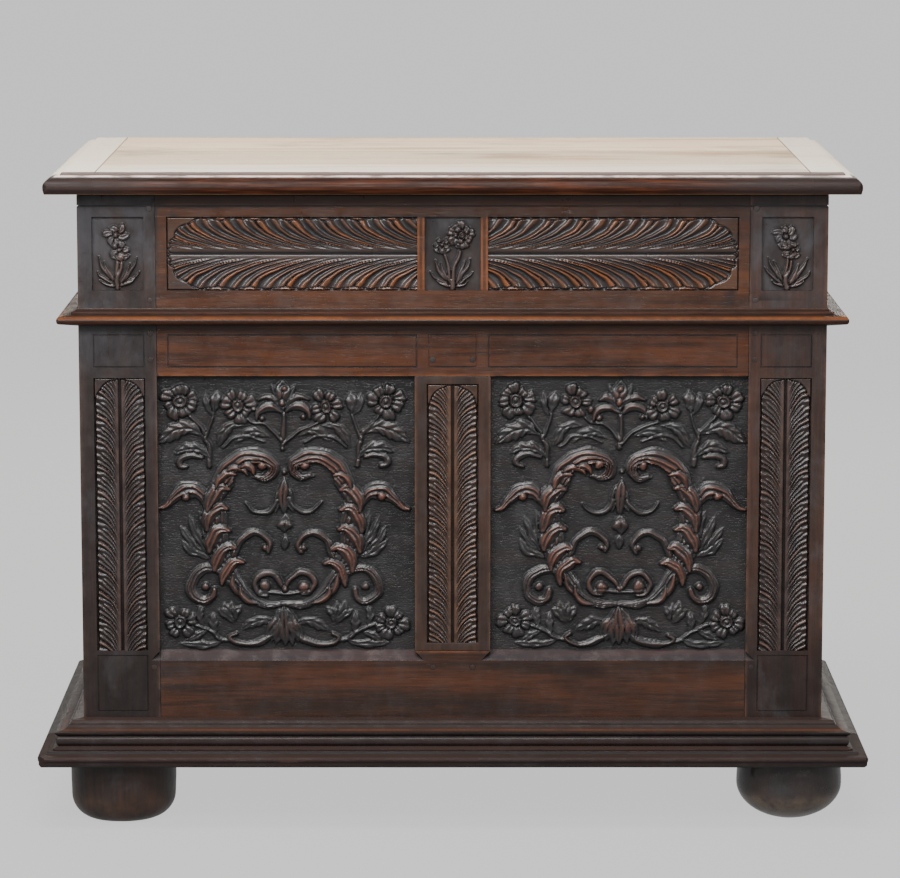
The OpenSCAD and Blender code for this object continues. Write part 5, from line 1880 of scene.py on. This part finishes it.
@dataclass
class FrontFrame:
    """Posts, rails and muntin of the front, with their carving."""

    frieze_foot: float = 51.0
    frieze_length: float = 359.0
    frieze_middle: float = FRIEZE_LOW + FRIEZE_FIELD / 2
    shoulder: float = 426.0
    panel_middle: float = 240.5
    band_half: float = 37.0

    def build(self) -> None:
        """Builds the front."""
        for node, finish in (("post_front_left", FRAME_WOOD), ("post_front_right", RIGHT_POST_WOOD),
                             ("muntin_front", MUNTIN_WOOD)):
            eased(node, finish, Grain.ALONG_Z, dusty=True)
        for node, finish in (("frieze_rail_front", FRIEZE_WOOD), ("upper_rail_front", RAIL_WOOD),
                             ("bottom_rail_front", LOW_RAIL_WOOD)):
            eased(node, finish, Grain.ALONG_X, shoulder=self.shoulder, dusty=True)
        self.carve_bands()
        FlowerBlock("flower_block_left", -POST_MIDDLE, 2, ((-3, 80, 19, 6), (3, 58, 15, 5))).build()
        FlowerBlock("flower_block_right", POST_MIDDLE, 5, ((-2, 78, 20, 7), (6, 58, 13, 5))).build()
        FlowerBlock("flower_block_middle", 0, 7, ((-15, 66, 12, 5), (12, 80, 20, 9)), 40).build()
        CarvedPanel("carved_panel_left", "front_panel_left", -self.panel_middle, -4.0, 21).build()
        CarvedPanel("carved_panel_right", "front_panel_right", self.panel_middle, 2.5, 34,
                    left_flower=(-64, 366, 25, 6), corner=(-153, 42, 25, 7)).build()

    def carve_bands(self) -> None:
        """Carves the leaf bands of the posts, the muntin and the frieze."""
        for name, x, seed in (("leaf_band_left", -POST_MIDDLE, 3), ("leaf_band_right", POST_MIDDLE, 8)):
            LeafBand(name, Way.UP, (x, PANEL_LOW), length=401, half_width=self.band_half, pitch=37,
                     sweep=1.45, bend=0.35, seed=seed).build()
        LeafBand("leaf_band_middle", Way.UP, (0, PANEL_LOW + 12), length=380, half_width=self.band_half,
                 pitch=34, sweep=1.5, bend=0.33, seed=5, finish=MUNTIN_WOOD).build()
        for name, way, side, seed in (("frieze_leaf_left", Way.LEFT, -1, 11),
                                      ("frieze_leaf_right", Way.RIGHT, 1, 14)):
            LeafBand(name, way, (side * self.frieze_foot, self.frieze_middle), self.frieze_length,
                     FRIEZE_FIELD / 2, pitch=49, sweep=3.0, bend=0.34, seed=seed, flush=0.82, notch=0.07,
                     profile=BOLD_LOBES, finish=BAND_WOOD).build()


@dataclass
class SideFrames:
    """Posts, rails and panels of the two sides."""

    rails: tuple[str, ...] = ("frieze_rail", "upper_rail", "bottom_rail")

    def build(self) -> None:
        """Builds both sides."""
        for side in ("left", "right"):
            eased(f"post_back_{side}", SIDE_WOOD, Grain.ALONG_Z)
            for rail in self.rails:
                eased(f"{rail}_{side}", SIDE_WOOD, Grain.ALONG_Y)
            eased(f"side_panel_{side}", SIDE_WOOD, Grain.ALONG_Z)


@dataclass
class BackAndFloor:
    """The plain back frame and the floor boards."""

    boards: tuple[str, ...] = ("left", "mid_left", "mid_right", "right")

    def build(self) -> None:
        """Builds the back and the floor."""
        for node in ("top_rail_back", "bottom_rail_back"):
            eased(node, PLAIN_WOOD, Grain.ALONG_X)
        for node in ("muntin_back", "back_panel_left", "back_panel_right"):
            eased(node, PLAIN_WOOD, Grain.ALONG_Z)
        for board in self.boards:
            eased(f"floor_board_{board}", PLAIN_WOOD, Grain.ALONG_Y)


def front_corners(nodes: tuple[str, str, str], left: float, right: float) -> tuple[Spot, Spot]:
    """Finds the two front corners that some pieces share.

    Args:
        nodes: The left, front and right CAD nodes.
        left: Radius that the left corner is worn to.
        right: Radius that the right corner is worn to.

    Returns:
        Place and radius of each corner, in millimetres.
    """
    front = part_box(nodes[1])[0].y / MM
    return ((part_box(nodes[0])[0].x / MM, front, left), (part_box(nodes[2])[1].x / MM, front, right))


@dataclass
class BaseAndMouldings:
    """Mouldings, base boards and feet."""

    wear: tuple[tuple[str, WoodFinish, float, float], ...] = (
        ("mid_moulding", NOSE_WOOD, 5.0, 4.0), ("plinth_moulding", MOULDING_WOOD, 6.0, 5.0),
        ("base_board", MOULDING_WOOD, 18.0, 9.0))
    rubbed_below: float = 52.0
    rubbed_fade: float = 16.0

    def build(self) -> None:
        """Builds the mouldings, the base and the feet."""
        for part, finish, left, right in self.wear:
            corners = front_corners((f"{part}_left", f"{part}_front", f"{part}_right"), left, right)
            for place, grain in (("front", Grain.ALONG_X), ("left", Grain.ALONG_Y), ("right", Grain.ALONG_Y)):
                eased(f"{part}_{place}", finish, grain, border=4.0, worn_profile=True, corners=corners,
                      round_over=0.7, sway=0.5, dusty=place == "front")
        eased("base_board_back", PLAIN_WOOD, Grain.ALONG_X)
        for end in ("front", "back"):
            for side, finish, wear in (("left", FOOT_WOOD, 0.45), ("right", BUN_WOOD, 1.0)):
                foot = eased(f"foot_{end}_{side}", finish, Grain.ALONG_Z, sway=1.2, strip=7.0, border=4.0)
                low = np.clip((self.rubbed_below - places(foot.data)[:, 2] / MM) / self.rubbed_fade, 0.0, 1.0)
                put_numbers(foot.data, "arris", low * wear)


@dataclass
class Lid:
    """Planks and cleats of the lid."""

    corner: float = 9.0

    def build(self) -> None:
        """Builds the lid."""
        corners = front_corners(("lid_cleat_left", "lid_cleat_left", "lid_cleat_right"), self.corner,
                                self.corner)
        for plank in ("front", "middle", "back"):
            eased(f"lid_plank_{plank}", LID_WOOD, Grain.ALONG_X, round_over=0.6, sway=0.2)
        for side in ("left", "right"):
            eased(f"lid_cleat_{side}", LID_WOOD, Grain.ALONG_Y, round_over=0.6, sway=0.2, corners=corners)


@dataclass
class Ironwork:
    """Hinges with their pins, and every peg and nail."""

    def build(self) -> None:
        """Builds the ironwork and the pegs."""
        front, back = Vector((0, -1, 0)), Vector((0, 1, 0))
        left, right = Vector((-1, 0, 0)), Vector((1, 0, 0))
        up, down = Vector((0, 0, 1)), Vector((0, 0, -1))
        for part in ("plate", "strap"):
            for side in ("left", "right"):
                eased(f"hinge_{part}_{side}", IRON, Grain.ALONG_X, round_over=0.5, sway=0.1, border=2.0,
                      shortest=2.0)
        for side in ("left", "right"):
            pin = frame["nodes"][f"hinge_pin_{side}"]
            pin.data.materials.clear()
            pin.data.materials.append(IRON.material())
        for node, facing, finish, shank_radius, head_radius, head_height, sides, seed in (
                ("joint_pegs_front", (front,), PEG_WOOD, 4, 4, 0.3, 12, 1),
                ("joint_pegs_sides", (left, right), SIDE_WOOD, 4, 4, 0.8, 9, 2),
                ("joint_pegs_back", (back,), PLAIN_WOOD, 4, 4, 0.8, 9, 3),
                ("cleat_pegs", (down,), LID_WOOD, 3.5, 3.5, 0.8, 9, 4),
                ("floor_nails", (up,), IRON, 1.5, 4, 1.6, 8, 5),
                ("hinge_nails_case", (back,), IRON, 1.5, 4, 1.6, 8, 6),
                ("hinge_nails_lid", (down,), IRON, 1.5, 1.5, 0.5, 8, 7)):
            Fastenings(node, facing, finish, shank_radius, head_radius, head_height, sides, seed).build()


# Studio


@dataclass
class Lamp:
    """A soft lamp."""

    name: str
    place: Spot
    target: Spot
    size: tuple[float, float]
    power: float
    tint: tuple[float, float, float] = (1.0, 1.0, 1.0)

    def build(self) -> None:
        """Hangs the lamp, out of the camera's sight."""
        data = bpy.data.lights.new(self.name, "AREA")
        data.shape, data.size, data.size_y = "RECTANGLE", *self.size
        data.energy, data.color = self.power, self.tint
        lamp = bpy.data.objects.new(self.name, data)
        lamp.location = self.place
        way = Vector(self.target) - Vector(self.place)
        lamp.rotation_euler = way.to_track_quat("-Z", "Y").to_euler()
        lamp.visible_camera = False
        bpy.context.scene.collection.objects.link(lamp)


@dataclass
class Studio:
    """A pale floor and backdrop, soft lamps and the camera."""

    floor_half: float = 30.0
    floor_front: float = -40.0
    wall_at: float = 9.0
    wall_high: float = 9.0
    bend: float = 4.0
    bend_start: float = 0.08
    bend_steps: int = 18
    surface: Tone = (90, 90, 90)
    glow: float = 0.83
    air: float = 0.24
    camera_place: Spot = (-0.0038, -5.974, FEET_TOP * MM + 1.383)
    camera_tilt: float = 80.924
    focal: float = 160.0
    sensor: float = 36.0

    def backdrop(self) -> None:
        """Lays the floor, with its back bent up as a wall."""
        profile = [(self.floor_front, 0.0), (self.wall_at - self.bend, 0.0)]
        profile += [(self.wall_at - self.bend + self.bend * math.sin(a), self.bend * (1 - math.cos(a)))
                    for a in np.linspace(self.bend_start, math.pi / 2, self.bend_steps)]
        profile.append((self.wall_at, self.wall_high))
        spots = [(x, y, z) for y, z in profile for x in (-self.floor_half, self.floor_half)]
        faces = [(2 * i, 2 * i + 1, 2 * i + 3, 2 * i + 2) for i in range(len(profile) - 1)]
        mesh = bpy.data.meshes.new("studio_floor")
        mesh.from_pydata(spots, [], faces)
        mesh.shade_smooth()
        paper = bpy.data.materials.new("studio_paper")
        paper.use_nodes = True
        shader = paper.node_tree.nodes["Principled BSDF"]
        shader.inputs["Base Color"].default_value = linear(self.surface)
        shader.inputs["Roughness"].default_value = 0.9
        shader.inputs["Specular IOR Level"].default_value = 0.0
        shader.inputs["Emission Color"].default_value = (1.0, 1.0, 1.0, 1.0)
        shader.inputs["Emission Strength"].default_value = self.glow
        mesh.materials.append(paper)
        floor = bpy.data.objects.new("studio_floor", mesh)
        floor.visible_diffuse = floor.visible_glossy = False
        bpy.context.scene.collection.objects.link(floor)

    def build(self) -> None:
        """Sets up the studio."""
        self.backdrop()
        world = bpy.data.worlds.new("studio_air")
        world.use_nodes = True
        world.node_tree.nodes["Background"].inputs[0].default_value = (1.0, 1.0, 1.0, 1.0)
        world.node_tree.nodes["Background"].inputs[1].default_value = self.air
        bpy.context.scene.world = world
        Lamp("overhead", (-0.4, -1.5, 3.5), (0, 0, 0.4), (2.4, 1.0), 107, (1.0, 0.98, 0.95)).build()
        Lamp("front_high", (-0.5, -2.3, 2.0), (0, -0.2, 0.7), (2.0, 0.6), 52, (0.98, 0.99, 1.0)).build()
        Lamp("front_left", (-2.8, -4.2, 2.2), (0, 0, 0.5), (0.9, 0.9), 40).build()
        Lamp("front_right", (3.0, -4.0, 1.8), (0, 0, 0.5), (0.8, 0.8), 38).build()
        Lamp("behind", (0.3, 3.2, 2.6), (0, 0, 0.7), (3.0, 1.6), 95, (1.0, 0.93, 0.83)).build()
        data = bpy.data.cameras.new("camera")
        data.lens, data.sensor_width = self.focal, self.sensor
        camera = bpy.data.objects.new("camera", data)
        camera.location = self.camera_place
        camera.rotation_euler = (math.radians(self.camera_tilt), 0.0, 0.0)
        bpy.context.scene.collection.objects.link(camera)
        bpy.context.scene.camera = camera


def main() -> None:
    """Builds the coffer's parts in order, then the studio."""
    logging.basicConfig(level=logging.INFO, format="%(message)s")
    for part in (FrontFrame(), SideFrames(), BackAndFloor(), BaseAndMouldings(), Lid(), Ironwork()):
        LOG.info("building %s", type(part).__name__)
        part.build()
    Studio().build()


if __name__ == "__main__":
    main()
